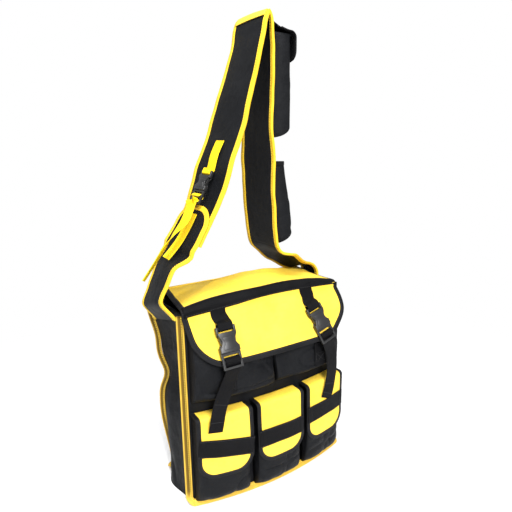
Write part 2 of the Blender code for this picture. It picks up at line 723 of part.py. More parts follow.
def strap_end(size, starts):
    """Centre line of webbing that comes down to a female half, round its bar and back up behind."""
    near = size["bar_deep"] / 2 + WEBBING_THICK
    bar_low = size["sleeve"] + size["slot"]
    above = bar_low + 2 * size["bar"]
    turn = np.linspace(0, pi, 5)
    loop = [(0, -near * cos(a), bar_low - size["slot"] / 2 * sin(a)) for a in turn]
    return starts + [(0, -near, above)] + loop + [(0, near, above)]


def ladder_wrap(size):
    """Centre line of webbing threaded over a ladder's middle rung and out behind its end rung."""
    near = ladder_half(size) + 2 * WEBBING_THICK + SEAM_GAP
    first = -size["base"] - size["gap"] / 2
    second = first - size["gap"] - size["rung"]
    middle = (first + second) / 2
    end = second - size["gap"] / 2 - size["rung"] / 2
    return [(0, near, middle), (0, 0, first), (0, -near, middle), (0, 0, second), (0, near, end),
            (0, near, end - size["rung"])]


def flap_buckle(name, hand, lean_deg, tail_run):
    """Strap, buckle and hanging tail of one side of the flap."""
    size = FLAP_BUCKLE
    x = hand * STRAP_PLACE
    off = EDGING_THICK / 2 + SEAM_GAP + size["deep"] / 2
    inner = STRAP_PLACE - size["web"]
    tilt = flap_slope(inner)
    seat = Vector((x, float(flap_front_y(inner, MOUTH_HEIGHT)), MOUTH_HEIGHT))
    seat += Vector((0, -cos(tilt), sin(tilt))) * off
    turn = Matrix.Rotation(-tilt, 4, "X") @ Matrix.Rotation(radians(lean_deg), 4, "Y")
    frame = Matrix.Translation(seat) @ turn

    female = female_half(f"{name}_buckle_female", size)
    male = male_half(f"{name}_buckle_male", size)
    arms = [latch_arm(f"{name}_buckle_arm_{side}", size, way) for side, way in (("left", -1), ("right", 1))]
    put([female, male] + arms, frame)

    rise = (FLAP_HINGE_HEIGHT - MOUTH_HEIGHT) / cos(tilt) / cos(radians(lean_deg))
    corner = size["web"] / 2 * abs(sin(radians(lean_deg))) + SEAM_GAP
    lie = off - FLAP_THICK / 2 - SEAM_GAP - WEBBING_THICK
    high = size["sleeve"] + size["slot"] + size["bar"] + size["slot"]
    starts = [(0, lie, rise - corner - 2 * WEBBING_THICK), (0, lie - WEBBING_THICK, (rise + high) / 2)]
    path = smooth_path(strap_end(size, starts), 3)
    side_axis = frame.to_3x3() @ Vector((1, 0, 0))
    strap = web_strip(f"{name}_flap_strap", to_world(frame, path), side_axis, size["web"], "black_webbing")

    wrap = list(to_world(frame, ladder_wrap(size)))
    tail_path = smooth_path(wrap + [Vector(p) for p in tail_run], 4)
    tail = web_strip(f"{name}_tail", tail_path, side_axis, size["web"], "black_webbing")
    at_joint(f"{name}_release", seat, [male, tail] + arms)
    return [female, strap]


def tail_points(shares):
    """World points of a hanging tail, standing just off the pocket flap below it."""
    off = EDGING_THICK / 2 + TAIL_ROOM
    places = [(x * STRAP_PLACE, z * MOUTH_HEIGHT) for x, z in shares]
    return [(x, float(pocket_flap_y(x, z)) - off, z) for x, z in places]


def anchor(name, x):
    """The fixed end of a flap strap's webbing, sewn flat on the upper pocket."""
    size = FLAP_BUCKLE
    low = UPPER_SEAM + UPPER_UNDERCUT
    lift = WEBBING_THICK / 2
    depth_at = upper_depth if x < 0 else dented_depth
    grid = on_grid(np.linspace(x - size["web"] / 2, x + size["web"] / 2, 4),
                   np.linspace(low, low + size["web"] + size["sleeve"] / 2, 3),
                   lambda a, b: (a, pocket_seam(a, b) - depth_at(a, b) - lift, b))
    return sheet(name, grid, WEBBING_THICK, "black_webbing")


# The shoulder strap


def strap_height(share):
    return BAG_HEIGHT + STRAP_THICK / 2 + SEAM_GAP + share * STRAP_RISE


def strap_points(shares):
    return [(x * HALF_WIDTH, 0.0, strap_height(z)) for x, z in shares]


def ribbon_frame(path, twist_deg):
    """The across and outward directions along a strap centre line."""
    twist = np.radians(twist_deg) * np.ones(len(path))
    across = np.stack([np.sin(twist), -np.cos(twist), np.zeros(len(path))], 1)
    run = np.gradient(path, axis=0)
    across -= np.sum(across * run, 1, keepdims=True) * run / np.sum(run * run, 1, keepdims=True)
    across /= np.linalg.norm(across, axis=1, keepdims=True)
    out = np.cross(across, run)
    return across, out / np.linalg.norm(out, axis=1, keepdims=True)


def ribbon(name, path, twist_deg, low, high, thickness, look, lift=0.0):
    """A strip of the strap between two distances across it, raised by lift off the centre line."""
    across, out = ribbon_frame(path, twist_deg)
    line = path + out * np.reshape(lift, (-1, 1))
    low = np.reshape(low, (-1, 1)) * np.ones((len(path), 1))
    high = np.reshape(high, (-1, 1)) * np.ones((len(path), 1))
    grid = np.stack([line + across * low, line + across * high], 1)
    return sheet(name, grid, thickness, look)


def split_at(path, height, first):
    """Cuts a path where it passes a height, counted from the first point given, with a seam's gap."""
    after = first + int(np.argmax((path[first:-1, 2] - height) * (path[first + 1:, 2] - height) <= 0)) + 1
    low, high = path[after - 1], path[after]
    run = (high - low) / np.linalg.norm(high - low)
    cut = low + (high - low) * (height - low[2]) / (high[2] - low[2])
    return (np.vstack([path[:after], cut - run * SEAM_GAP / 2]),
            np.vstack([cut + run * SEAM_GAP / 2, path[after:]]))


def twist_along(path):
    """The left half turns a little to the front, and the right half doesn't."""
    turned_share = 0.25
    return STRAP_TWIST_DEG * np.clip(-path[:, 0] / (HALF_WIDTH * turned_share), 0, 1)


def strap_pieces():
    half = STRAP_WIDTH / 2
    moving = []

    cut = strap_height(FOOT_TOP_share)
    whole = smooth_path(strap_points(LEFT_shares + RIGHT_shares), 3)
    left_foot, rest = split_at(whole, cut, 0)
    arch, right_foot = split_at(rest, cut, int(np.argmax(rest[:, 2])))
    ribbon("left_strap_foot", left_foot, twist_along(left_foot), -half, half, STRAP_THICK, "black_cloth")
    ribbon("right_strap_foot", right_foot, 0, -half, half, STRAP_THICK, "black_cloth")

    apex = int(np.argmax(arch[:, 2]))
    left, right = arch[: apex + 1], arch[apex:]
    upper = split_at(left, strap_height(LONG_START_share), 0)[1]
    long_path = np.vstack([upper, right[1:]])
    inner = half - STRAP_EDGE_WIDTH
    twist = twist_along(long_path)
    moving.append(ribbon("strap_long_half", long_path, twist, -inner, inner, STRAP_THICK, "black_cloth"))
    for side, way in (("front", 1), ("back", -1)):
        edges = sorted((way * (inner + SEAM_GAP), way * half))
        moving.append(ribbon(f"strap_{side}_binding", long_path, twist, edges[0], edges[1],
                             STRAP_EDGE_THICK, "yellow_tape"))

    moving += short_half(split_at(left, strap_height(SHORT_END_share), 0)[0])

    patch = left[left[:, 2] >= strap_height(PATCH_START_share)]
    lift = STRAP_THICK / 2 + SEAM_GAP + WEBBING_THICK / 2
    moving.append(ribbon("shoulder_patch", patch, twist_along(patch), -inner, inner, WEBBING_THICK,
                         "yellow_cloth", lift))
    moving += strap_pouches(right)
    moving += strap_adjuster(left)
    return moving


def lap_lift(path):
    """How far the short half stands off the strap's centre line: it rises over the long half."""
    over = STRAP_EDGE_THICK / 2 + 2 * SEAM_GAP + STRAP_THICK / 2
    start = strap_height(FOOT_TOP_share) + LAP_RISE / 2
    return over * np.clip((path[:, 2] - start) / LAP_RISE, 0, 1)


def short_half(path):
    """The short half, with a rounded end, and one binding round its edges and that end."""
    length = np.append(0, np.cumsum(np.linalg.norm(np.diff(path, axis=0), axis=1)))
    across, out = ribbon_frame(path, twist_along(path))
    line = path + out * lap_lift(path)[:, None]
    half, end = STRAP_WIDTH / 2 - STRAP_EDGE_WIDTH, length[-1] - STRAP_EDGE_WIDTH

    def lay(t, back):
        """A point t across the strap and back from its rounded end."""
        s = end - back
        spots = [np.interp(s, length, line[:, k]) + t * np.interp(s, length, across[:, k]) for k in range(3)]
        return np.stack(spots, -1)

    rows = corner_rows(0, SHORT_END_RADIUS, end, 3)
    shares = np.linspace(-1, 1, 7)
    grid = np.stack([lay(shares * rounded_half_width(q, 0, half, SHORT_END_RADIUS), q) for q in rows], 1)
    cloth = sheet("strap_short_half", grid, STRAP_THICK, "black_cloth")
    edge = corner_path(half, 0, end, SHORT_END_RADIUS)
    away = outward(edge)
    lines = [edge + away * reach for reach in (SEAM_GAP, STRAP_EDGE_WIDTH)]
    for border in lines:
        border[[0, -1], 1] = end
    band = np.stack([lay(border[:, 0], border[:, 1]) for border in lines], 1)
    return [cloth, sheet("short_half_binding", band, STRAP_THICK, "yellow_tape")]


def strap_x(path, z):
    """The strap's outer face at a height on the right half."""
    order = np.argsort(path[:, 2])
    return np.interp(z, path[order, 2], path[order, 0]) + STRAP_THICK / 2


def pouch(name, path, foot, mouth, depth, mouth_depth, undercut_height):
    """A pouch on the strap's outer face, open at the top."""
    share_across, share_out = bellows_turn()
    least = POUCH_THICK + SEAM_GAP
    foot_shares = np.array([0, 0.06, 0.3, 1.0])
    heights = np.append(foot + undercut_height * foot_shares, [(foot + mouth) / 2, mouth])

    def place(a, b):
        index = np.rint(a).astype(int)
        full = undercut(b - foot, depth, undercut_height)
        narrowing = np.clip((b - (foot + mouth) / 2) / (mouth - (foot + mouth) / 2), 0, 1)
        out = np.maximum(full - (depth - mouth_depth) * narrowing, least)
        x = strap_x(path, b) + SEAM_GAP + (out - SEAM_GAP) * share_out[index]
        return x, share_across[index] * (POUCH_WIDTH / 2), b

    grid = on_grid(np.arange(len(share_across)), heights, place)
    return sheet(name, grid, POUCH_THICK, "black_cloth", -1)


def strap_pouches(path):
    upper = pouch("upper_pouch", path, UPPER_POUCH_FOOT, UPPER_POUCH_MOUTH, UPPER_POUCH_DEPTH,
                  UPPER_POUCH_DEPTH, POCKET_UNDERCUT)
    lower = pouch("lower_pouch", path, LOWER_POUCH_FOOT, LOWER_POUCH_MOUTH, LOWER_POUCH_DEPTH,
                  LOWER_POUCH_MOUTH_DEPTH, POCKET_UNDERCUT)
    level = UPPER_POUCH_MOUTH + POUCH_FLAP_ROOM + POUCH_THICK
    root = float(strap_x(path, level)) + SEAM_GAP + POUCH_THICK / 2
    out = float(strap_x(path, UPPER_POUCH_MOUTH)) + UPPER_POUCH_DEPTH + POUCH_FLAP_ROOM
    bend = POCKET_FLAP_BEND
    turn = np.linspace(0, pi / 2, 4)
    x = np.concatenate([[root], out - bend + bend * np.sin(turn), [out]])
    z = np.concatenate([[level], level - bend + bend * np.cos(turn), [UPPER_POUCH_MOUTH - POUCH_FLAP_DROP]])
    y = np.array([-POUCH_WIDTH / 2, POUCH_WIDTH / 2])
    grid = np.zeros((len(x), 2, 3))
    grid[..., 0], grid[..., 2], grid[..., 1] = x[:, None], z[:, None], y[None, :]
    flap = sheet("upper_pouch_flap", grid, POUCH_THICK, "black_cloth")
    at_joint("upper_pouch_flap_seam", (root, 0, level), [flap])
    return [upper, lower]


def strap_adjuster(path):
    """The yellow webbing and the buckle that join the strap's two halves, on the left outer face."""
    size = STRAP_BUCKLE
    across, out = ribbon_frame(path, twist_along(path))
    z = path[:, 2]

    def on_face(height, lift):
        return np.array([np.interp(height, z, path[:, k] + lift * out[:, k]) for k in range(3)])

    seat = on_face(ADJUSTER_MOUTH, ADJUSTER_LIFT)
    away = Vector(on_face(ADJUSTER_MOUTH, ADJUSTER_LIFT + size["deep"]) - seat).normalized()
    along = Vector(on_face(ADJUSTER_MOUTH + size["sleeve"], ADJUSTER_LIFT) - seat).normalized()
    up = (along - away * sin(radians(ADJUSTER_LEAN_DEG))).normalized()
    side = away.cross(up).normalized()
    back = up.cross(side)
    frame = Matrix.Translation(Vector(seat)) @ Matrix((side, back, up)).transposed().to_4x4()

    female = female_half("strap_buckle_female", size)
    male = male_half("strap_buckle_male", size)
    arms = [latch_arm(f"strap_buckle_arm_{name}", size, way) for name, way in (("left", -1), ("right", 1))]
    put([female, male] + arms, frame)
    side_axis = frame.to_3x3() @ Vector((1, 0, 0))

    face_lift = STRAP_THICK / 2 + SEAM_GAP + WEBBING_THICK / 2
    sewn_end = ADJUSTER_TOP - size["web"]
    starts = [on_face(ADJUSTER_TOP, face_lift), on_face(sewn_end, face_lift + WEBBING_THICK)]
    upper_path = smooth_path(starts + list(to_world(frame, strap_end(size, []))), 3)
    upper_web = web_strip("adjuster_upper_web", upper_path, side_axis, size["web"], "yellow_webbing")

    lap_face = STRAP_EDGE_THICK / 2 + SEAM_GAP + STRAP_THICK + SEAM_GAP + WEBBING_THICK
    sewn = [on_face(h, lap_face) for h in np.linspace(ADJUSTER_SEWN, ADJUSTER_LOOP, 3)]
    lower_path = smooth_path(sewn, 4)
    lower_web = web_strip("adjuster_lower_web", lower_path, side_axis, size["web"], "yellow_webbing")

    wrap = list(to_world(frame, ladder_wrap(size)))
    hang = [np.array([x * HALF_WIDTH, 0.0, strap_height(h)]) for x, h in ADJUSTER_TAIL_shares]
    tail = web_strip("adjuster_tail", smooth_path(wrap + hang, 4), side_axis, size["web"], "yellow_webbing")
    at_joint("strap_release", Vector(seat), [male, tail] + arms)
    return [female, upper_web, lower_web]


def build():
    clear_scene()
    front_panel()
    back_panel()
    gusset("left_gusset", -1)
    gusset("right_gusset", 1)
    bottom_panel()
    seam_binding("front_binding", front_y, BAG_HEIGHT)
    seam_binding("back_binding", back_y, BACK_TOP)
    for name, place in (("left", -1), ("middle", 0), ("right", 1)):
        lower_pocket(f"{name}_pocket", place * POCKET_PITCH)
        pocket_flap(f"{name}_pocket", place * POCKET_PITCH)
    upper_pocket("upper_left_pocket", -UPPER_PITCH / 2, upper_depth)
    upper_pocket("upper_right_pocket", UPPER_PITCH / 2, dented_depth)
    anchor("left_anchor_web", -STRAP_PLACE)
    anchor("right_anchor_web", STRAP_PLACE)
    flap_top()
    hanging = flap_front()
    hanging += flap_buckle("left", -1, 0.0, tail_points(LEFT_TAIL_shares))
    hanging += flap_buckle("right", 1, -RIGHT_LEAN_DEG, tail_points(RIGHT_TAIL_shares))
    outside = FOLD_Y - FLAP_THICK / 2 - SEAM_GAP - WEBBING_THICK - SEAM_GAP / 2
    at_joint("flap_fold", (0, outside, FLAP_HINGE_HEIGHT), hanging)
    at_joint("strap_swing", (0, STRAP_WIDTH / 2, strap_height(FOOT_TOP_share)), strap_pieces())


build()
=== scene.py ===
from math import cos, pi, radians, sin

import bpy
import numpy as np
from mathutils import Matrix, Vector


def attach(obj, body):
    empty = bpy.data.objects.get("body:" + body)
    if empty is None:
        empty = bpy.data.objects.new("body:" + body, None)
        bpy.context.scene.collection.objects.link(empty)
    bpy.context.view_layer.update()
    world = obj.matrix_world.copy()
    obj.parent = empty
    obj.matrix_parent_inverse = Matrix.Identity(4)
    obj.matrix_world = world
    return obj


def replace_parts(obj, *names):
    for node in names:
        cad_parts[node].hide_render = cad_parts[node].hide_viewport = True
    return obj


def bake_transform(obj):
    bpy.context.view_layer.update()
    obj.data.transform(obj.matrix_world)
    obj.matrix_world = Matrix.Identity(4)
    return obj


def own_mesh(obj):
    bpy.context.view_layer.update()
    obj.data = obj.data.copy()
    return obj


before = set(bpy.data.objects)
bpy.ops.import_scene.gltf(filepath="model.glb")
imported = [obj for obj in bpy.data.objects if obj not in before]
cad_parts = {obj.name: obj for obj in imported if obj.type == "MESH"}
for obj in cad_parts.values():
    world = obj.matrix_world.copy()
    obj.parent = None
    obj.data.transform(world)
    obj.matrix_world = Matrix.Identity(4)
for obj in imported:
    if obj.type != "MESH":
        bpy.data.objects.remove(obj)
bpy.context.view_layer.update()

# Camera: stands at the photograph's place, to the left of the bag's front and a little above its middle.
# Its place, tilt and focal length are those that were fitted to the bag's corners and strap.
PHOTO_PX = 512
FOCAL_PX = 450.0
SENSOR_MM = 36.0
AIM = Vector((0.01009, -0.008, 0.45372))
AIM_DISTANCE = 0.91004
AZIMUTH, ELEVATION, ROLL = radians(31.895), radians(12.265), radians(-1.0)
FARTHEST_SEEN = 30.0


def camera_turn(azimuth, elevation, roll):
    """Rotation of a camera that looks along +Y at azimuth 0 and down at a positive elevation."""
    ahead = Vector((sin(azimuth) * cos(elevation), cos(azimuth) * cos(elevation), -sin(elevation)))
    level = Vector((cos(azimuth), -sin(azimuth), 0))
    upright = level.cross(ahead)
    side = level * cos(roll) + upright * sin(roll)
    above = upright * cos(roll) - level * sin(roll)
    return Matrix((side, above, -ahead)).transposed(), ahead


turn, ahead = camera_turn(AZIMUTH, ELEVATION, ROLL)
lens = bpy.data.cameras.new("photo_camera")
lens.sensor_width = SENSOR_MM
lens.lens = FOCAL_PX / PHOTO_PX * SENSOR_MM
lens.clip_end = FARTHEST_SEEN
camera = bpy.data.objects.new("photo_camera", lens)
camera.matrix_world = Matrix.Translation(AIM - ahead * AIM_DISTANCE) @ turn.to_4x4()
bpy.context.scene.collection.objects.link(camera)
bpy.context.scene.camera = camera
bpy.context.scene.view_settings.view_transform = "Standard"

# Stage: a pale floor that keeps the bag's soft shadow, a white surround and large soft lights.
# The floor fades into the surround, so no horizon shows behind the bag.
FLOOR_SIZE = 9.0
FADE_START, FADE_END = 0.45, 1.15
PAPER = (0.93, 0.93, 0.94, 1)
SURROUND_LIGHT, SURROUND_SEEN, GLOSSY_SHARE = 0.42, 1.0, 0.5


def wired(tree, kind, inputs=(), **settings):
    """A new shader node with its settings, its inputs set to values or joined to sockets."""
    made = tree.nodes.new(kind)
    for key, value in settings.items():
        setattr(made, key, value)
    for key, value in dict(inputs).items():
        if isinstance(value, bpy.types.NodeSocket):
            tree.links.new(value, made.inputs[key])
        else:
            made.inputs[key].default_value = value
    return made


def maths(tree, operation, *values):
    """The result of a math node on values or sockets."""
    return wired(tree, "ShaderNodeMath", dict(enumerate(values)), operation=operation).outputs[0]


def floor_material():
    """Pale paper that turns clear with its distance from the bag."""
    made = bpy.data.materials.new("floor_paper")
    made.use_nodes = True
    tree = made.node_tree
    tree.nodes.clear()
    spot = wired(tree, "ShaderNodeTexCoord").outputs["Object"]
    away = wired(tree, "ShaderNodeVectorMath", {0: spot}, operation="LENGTH").outputs["Value"]
    fade = wired(tree, "ShaderNodeMapRange", {"Value": away, "From Min": FADE_START, "From Max": FADE_END},
                 interpolation_type="SMOOTHSTEP").outputs["Result"]
    paper = wired(tree, "ShaderNodeBsdfDiffuse", {"Color": PAPER})
    clear = wired(tree, "ShaderNodeBsdfTransparent")
    mixed = wired(tree, "ShaderNodeMixShader", {0: fade, 1: paper.outputs[0], 2: clear.outputs[0]})
    wired(tree, "ShaderNodeOutputMaterial", {"Surface": mixed.outputs[0]})
    return made


floor_mesh = bpy.data.meshes.new("floor")
floor_corners = [(x * FLOOR_SIZE / 2, y * FLOOR_SIZE / 2, 0) for x, y in ((-1, -1), (1, -1), (1, 1), (-1, 1))]
floor_mesh.from_pydata(floor_corners, [], [(0, 1, 2, 3)])
floor_mesh.materials.append(floor_material())
floor = bpy.data.objects.new("floor", floor_mesh)
bpy.context.scene.collection.objects.link(floor)

world = bpy.data.worlds.new("studio")
bpy.context.scene.world = world
world.use_nodes = True
world_tree = world.node_tree
world_tree.nodes.clear()
rays = wired(world_tree, "ShaderNodeLightPath").outputs
seen = maths(world_tree, "MULTIPLY_ADD", rays["Is Glossy Ray"], GLOSSY_SHARE, rays["Is Camera Ray"])
power = wired(world_tree, "ShaderNodeMapRange",
              {"Value": seen, "To Min": SURROUND_LIGHT, "To Max": SURROUND_SEEN}).outputs["Result"]
surround = wired(world_tree, "ShaderNodeBackground", {"Color": (1, 1, 1, 1), "Strength": power})
wired(world_tree, "ShaderNodeOutputWorld", {"Surface": surround.outputs[0]})


def area_light(name, place, aim, size, watts):
    """A square lamp that faces a point."""
    light = bpy.data.lights.new(name, "AREA")
    light.size = size
    light.energy = watts
    lamp = bpy.data.objects.new(name, light)
    facing = (Vector(aim) - Vector(place)).to_track_quat("-Z", "Y").to_matrix().to_4x4()
    lamp.matrix_world = Matrix.Translation(place) @ facing
    bpy.context.scene.collection.objects.link(lamp)


area_light("key_light", place=(-0.4, -2.3, 1.7), aim=(0, 0, 0.35), size=0.8, watts=110)
area_light("top_light", place=(-0.6, -0.5, 2.4), aim=(0, 0, 0.4), size=1.0, watts=52)
area_light("left_light", place=(-2.0, -0.9, 1.1), aim=(0, 0, 0.35), size=1.0, watts=12)

# Finishes: woven polyester, webbing, thread and moulded plastic, shared by every piece below.
# Weave and ribs run in each piece's UV map, which is measured in metres of cloth.
WEAR_NOISE, FINE_NOISE, FOLD_NOISE = (14.0, 4.0, 0.62), (210.0, 2.0, 0.5), (30.0, 3.0, 0.45)
WEAR_FROM, WEAR_TO, SMOOTHEST, ROUGHEST = 0.42, 0.78, 0.38, 0.72
SHADE_MEAN, SHADE_FINE, SHADE_THREAD = 0.78, 0.30, 0.10
RELIEF_FINE, RELIEF_THREAD, RELIEF_STRENGTH = 0.8, 0.5, 0.75
RIB_TURNS, RIB_SLANT = 0.25, 1.2


def shader_group(name, inputs, outputs):
    """An empty shader node group with those sockets, and its two end nodes."""
    tree = bpy.data.node_groups.new(name, "ShaderNodeTree")
    for label, kind in inputs:
        tree.interface.new_socket(label, in_out="INPUT", socket_type=kind)
    for label, kind in outputs:
        tree.interface.new_socket(label, in_out="OUTPUT", socket_type=kind)
    return tree, tree.nodes.new("NodeGroupInput"), tree.nodes.new("NodeGroupOutput")


def noise_node(tree, spot, scale, detail, roughness):
    """Noise over the cloth: its patches to a metre, how finely they break up and how rough they are."""
    return wired(tree, "ShaderNodeTexNoise",
                 {"Vector": spot, "Scale": scale, "Detail": detail, "Roughness": roughness}).outputs[0]


def woven_group(name, ribbed):
    """Colour and relief of woven cloth, or of webbing with ribs along it, worn paler in soft patches."""
    tree, given, made = shader_group(
        name,
        [("Coordinates", "NodeSocketVector"), ("Colour", "NodeSocketColor"), ("Worn", "NodeSocketColor"),
         ("Pitch", "NodeSocketFloat"), ("Relief", "NodeSocketFloat"), ("Rumple", "NodeSocketFloat")],
        [("Colour", "NodeSocketColor"), ("Normal", "NodeSocketVector"), ("Roughness", "NodeSocketFloat")])
    spot = given.outputs["Coordinates"]
    axes = wired(tree, "ShaderNodeSeparateXYZ", {0: spot})
    turns = maths(tree, "DIVIDE", 2 * pi, given.outputs["Pitch"])
    across = maths(tree, "MULTIPLY", axes.outputs["X"], turns)
    along = maths(tree, "MULTIPLY", axes.outputs["Y"], turns)
    if ribbed:
        rib = maths(tree, "SINE", maths(tree, "MULTIPLY", across, RIB_TURNS))
        slant = maths(tree, "MULTIPLY", rib, RIB_SLANT)
        thread = maths(tree, "MULTIPLY", maths(tree, "SINE", across),
                       maths(tree, "SINE", maths(tree, "ADD", along, slant)))
    else:
        thread = maths(tree, "MULTIPLY", maths(tree, "SINE", across), maths(tree, "SINE", along))
    wear = noise_node(tree, spot, *WEAR_NOISE)
    fine = noise_node(tree, spot, *FINE_NOISE)
    patch = wired(tree, "ShaderNodeMapRange", {"Value": wear, "From Min": WEAR_FROM, "From Max": WEAR_TO})
    grain = maths(tree, "MULTIPLY_ADD", fine, SHADE_FINE, SHADE_MEAN)
    shade = maths(tree, "MULTIPLY_ADD", thread, SHADE_THREAD, grain)
    tinted = wired(tree, "ShaderNodeMix", {"Factor": patch.outputs[0], 6: given.outputs["Colour"],
                                           7: given.outputs["Worn"]}, data_type="RGBA")
    dyed = wired(tree, "ShaderNodeVectorMath", {0: tinted.outputs[2], "Scale": shade}, operation="SCALE")
    fold = noise_node(tree, spot, *FOLD_NOISE)
    rumple = maths(tree, "MULTIPLY", fold, given.outputs["Rumple"])
    rumple = maths(tree, "MULTIPLY_ADD", fine, RELIEF_FINE, rumple)
    height = maths(tree, "MULTIPLY_ADD", thread, RELIEF_THREAD, rumple)
    relief = wired(tree, "ShaderNodeBump", {"Height": height, "Distance": given.outputs["Relief"],
                                            "Strength": RELIEF_STRENGTH})
    rough = wired(tree, "ShaderNodeMapRange", {"Value": wear, "To Min": SMOOTHEST, "To Max": ROUGHEST})
    tree.links.new(dyed.outputs[0], made.inputs["Colour"])
    tree.links.new(relief.outputs[0], made.inputs["Normal"])
    tree.links.new(rough.outputs[0], made.inputs["Roughness"])
    return tree


WOVEN = woven_group("woven_cloth", False)
RIBBED = woven_group("ribbed_webbing", True)


def principled(name, specular):
    """A new material, its node tree and its shader."""
    made = bpy.data.materials.new(name)
    made.use_nodes = True
    shader = made.node_tree.nodes["Principled BSDF"]
    shader.inputs["Specular IOR Level"].default_value = specular
    return made, made.node_tree, shader


def cloth_finish(name, group, colour, worn, pitch, relief, rumple=0.0, specular=0.10):
    """Cloth or webbing: a woven group with its colours, thread pitch, relief and creasing."""
    made, tree, shader = principled(name, specular)
    spot = wired(tree, "ShaderNodeTexCoord").outputs["UV"]
    look = wired(tree, "ShaderNodeGroup", node_tree=group)
    tree.links.new(spot, look.inputs["Coordinates"])
    for label, value in (("Colour", colour), ("Worn", worn), ("Pitch", pitch), ("Relief", relief),
                         ("Rumple", rumple)):
        look.inputs[label].default_value = value
    tree.links.new(look.outputs["Colour"], shader.inputs["Base Color"])
    tree.links.new(look.outputs["Normal"], shader.inputs["Normal"])
    tree.links.new(look.outputs["Roughness"], shader.inputs["Roughness"])
    return made


def plain_finish(name, colour, roughness, specular=0.5):
    """Thread, pile or plastic of one colour."""
    made, _, shader = principled(name, specular)
    shader.inputs["Roughness"].default_value = roughness
    shader.inputs["Base Color"].default_value = colour
    return made


BLACK = cloth_finish("black_polyester", WOVEN, (0.0038, 0.0042, 0.0052, 1), (0.0075, 0.0080, 0.0096, 1),
                     pitch=0.0011, relief=0.00022, rumple=30.0)
YELLOW = cloth_finish("yellow_polyester", WOVEN, (0.90, 0.615, 0.066, 1), (0.86, 0.555, 0.046, 1),
                      pitch=0.0011, relief=0.00018, rumple=16.0)
TAPE_YELLOW = cloth_finish("yellow_binding", RIBBED, (0.80, 0.52, 0.028, 1), (0.62, 0.37, 0.020, 1),
                           pitch=0.0012, relief=0.00018)
TAPE_BLACK = cloth_finish("black_binding", RIBBED, (0.0055, 0.0055, 0.0062, 1), (0.010, 0.010, 0.0115, 1),
                          pitch=0.0012, relief=0.00020)
WEB_BLACK = cloth_finish("black_webbing_weave", RIBBED, (0.004, 0.004, 0.0046, 1), (0.008, 0.008, 0.009, 1),
                         pitch=0.0020, relief=0.00035, specular=0.05)
WEB_YELLOW = cloth_finish("yellow_webbing_weave", RIBBED, (0.95, 0.68, 0.015, 1), (0.88, 0.58, 0.012, 1),
                          pitch=0.0020, relief=0.00030)
THREAD_BLACK = plain_finish("black_thread", (0.012, 0.012, 0.013, 1), roughness=0.55)
THREAD_YELLOW = plain_finish("yellow_thread", (0.90, 0.66, 0.06, 1), roughness=0.55)
PLASTIC = plain_finish("buckle_acetal", (0.0090, 0.0092, 0.0098, 1), roughness=0.40)
HOOKS = plain_finish("hook_tape_pile", (0.012, 0.012, 0.013, 1), roughness=0.95)
# Painted shadow down the middle of the bag's seam binding. It is full within the first distance of its middle
# line and gone at the second, in this colour, and it fades in between the two heights above the foot.
PAINTED_SHADOW_HALF, PAINTED_SHADOW_EDGE, PAINTED_SHADOW_COLOUR = 0.0018, 0.0042, (0.11, 0.064, 0.008, 1)
PAINTED_SHADOW_FOOT, PAINTED_SHADOW_ABOVE = 0.010, 0.030


def yellow_tape_with_painted_shade():
    """Yellow binding with painted shade: a darker copy of the yellow tape, with painted shadow along its
    middle, but not where it runs round the foot.
    """
    made = cloth_finish("yellow_binding_painted_shade", RIBBED, (0.64, 0.41, 0.055, 1), (0.50, 0.30, 0.032, 1),
                        pitch=0.0012, relief=0.00018)
    tree = made.node_tree
    shade = tree.nodes["Principled BSDF"].inputs["Base Color"]
    dyed = shade.links[0].from_socket
    spot = wired(tree, "ShaderNodeTexCoord").outputs
    across = maths(tree, "ABSOLUTE", wired(tree, "ShaderNodeSeparateXYZ", {0: spot["UV"]}).outputs["X"])
    height = wired(tree, "ShaderNodeSeparateXYZ", {0: spot["Object"]}).outputs["Z"]
    painted_groove_shadow = wired(tree, "ShaderNodeMapRange", {"Value": across, "From Min": PAINTED_SHADOW_HALF, "From Max": PAINTED_SHADOW_EDGE,
                                             "To Min": 1.0, "To Max": 0.0}, interpolation_type="SMOOTHSTEP")
    above = wired(tree, "ShaderNodeMapRange", {"Value": height, "From Min": PAINTED_SHADOW_FOOT, "From Max": PAINTED_SHADOW_ABOVE})
    both = maths(tree, "MULTIPLY", painted_groove_shadow.outputs["Result"], above.outputs["Result"])
    mixed = wired(tree, "ShaderNodeMix", {"Factor": both, 6: dyed, 7: PAINTED_SHADOW_COLOUR}, data_type="RGBA")
    tree.links.new(mixed.outputs[2], shade)
    return made


# The bag's seam binding: a darker copy of the yellow tape as painted shade, with painted shadow down its
# middle.
TAPE_YELLOW_PAINTED_SHADE = yellow_tape_with_painted_shade()

# Bag shell: front, back, two pinched side gussets and the base, black woven polyester with soft creases.
# The front bellies forward towards its foot, and both top corners droop. The left side bellies out near its
# foot, and its rear seam flares at the top, is kinked half-way up and drawn in at the foot.
HALF_WIDTH, HALF_DEPTH, BAG_HEIGHT, BACK_TOP = 0.175, 0.0625, 0.390, 0.3957
FRONT_BOW, BACK_BOW, GUSSET_PINCH = 0.024, 0.004, 0.0125
LEFT_DROOP, LEFT_DROOP_START, RIGHT_DROOP, RIGHT_DROOP_START = 0.009, 0.040, 0.008, 0.070
KINK_LEVEL, KINK_REACH, FOOT_REACH, FLARE_LEVEL, FLARE_REACH = 0.225, 0.030, 0.150, 0.290, 0.080
KINK_SIDEWAYS, KINK_FORWARD = (0.0095, 0.0150, 0.0120), (0.012, 0.010, 0.007)
CORNER_POWER, BASE_CORNER_POWER = 5, 12
BELLY_OUT, BELLY_RISE = 0.0220, 0.130
PANEL_THICK, SEAM_GAP = 0.0024, 0.0003
PANEL_FOOT = PANEL_THICK + SEAM_GAP
FRONT_RUMPLE, FRONT_CREASE = (0.0014, 0.035), (0.0012, 0.06)
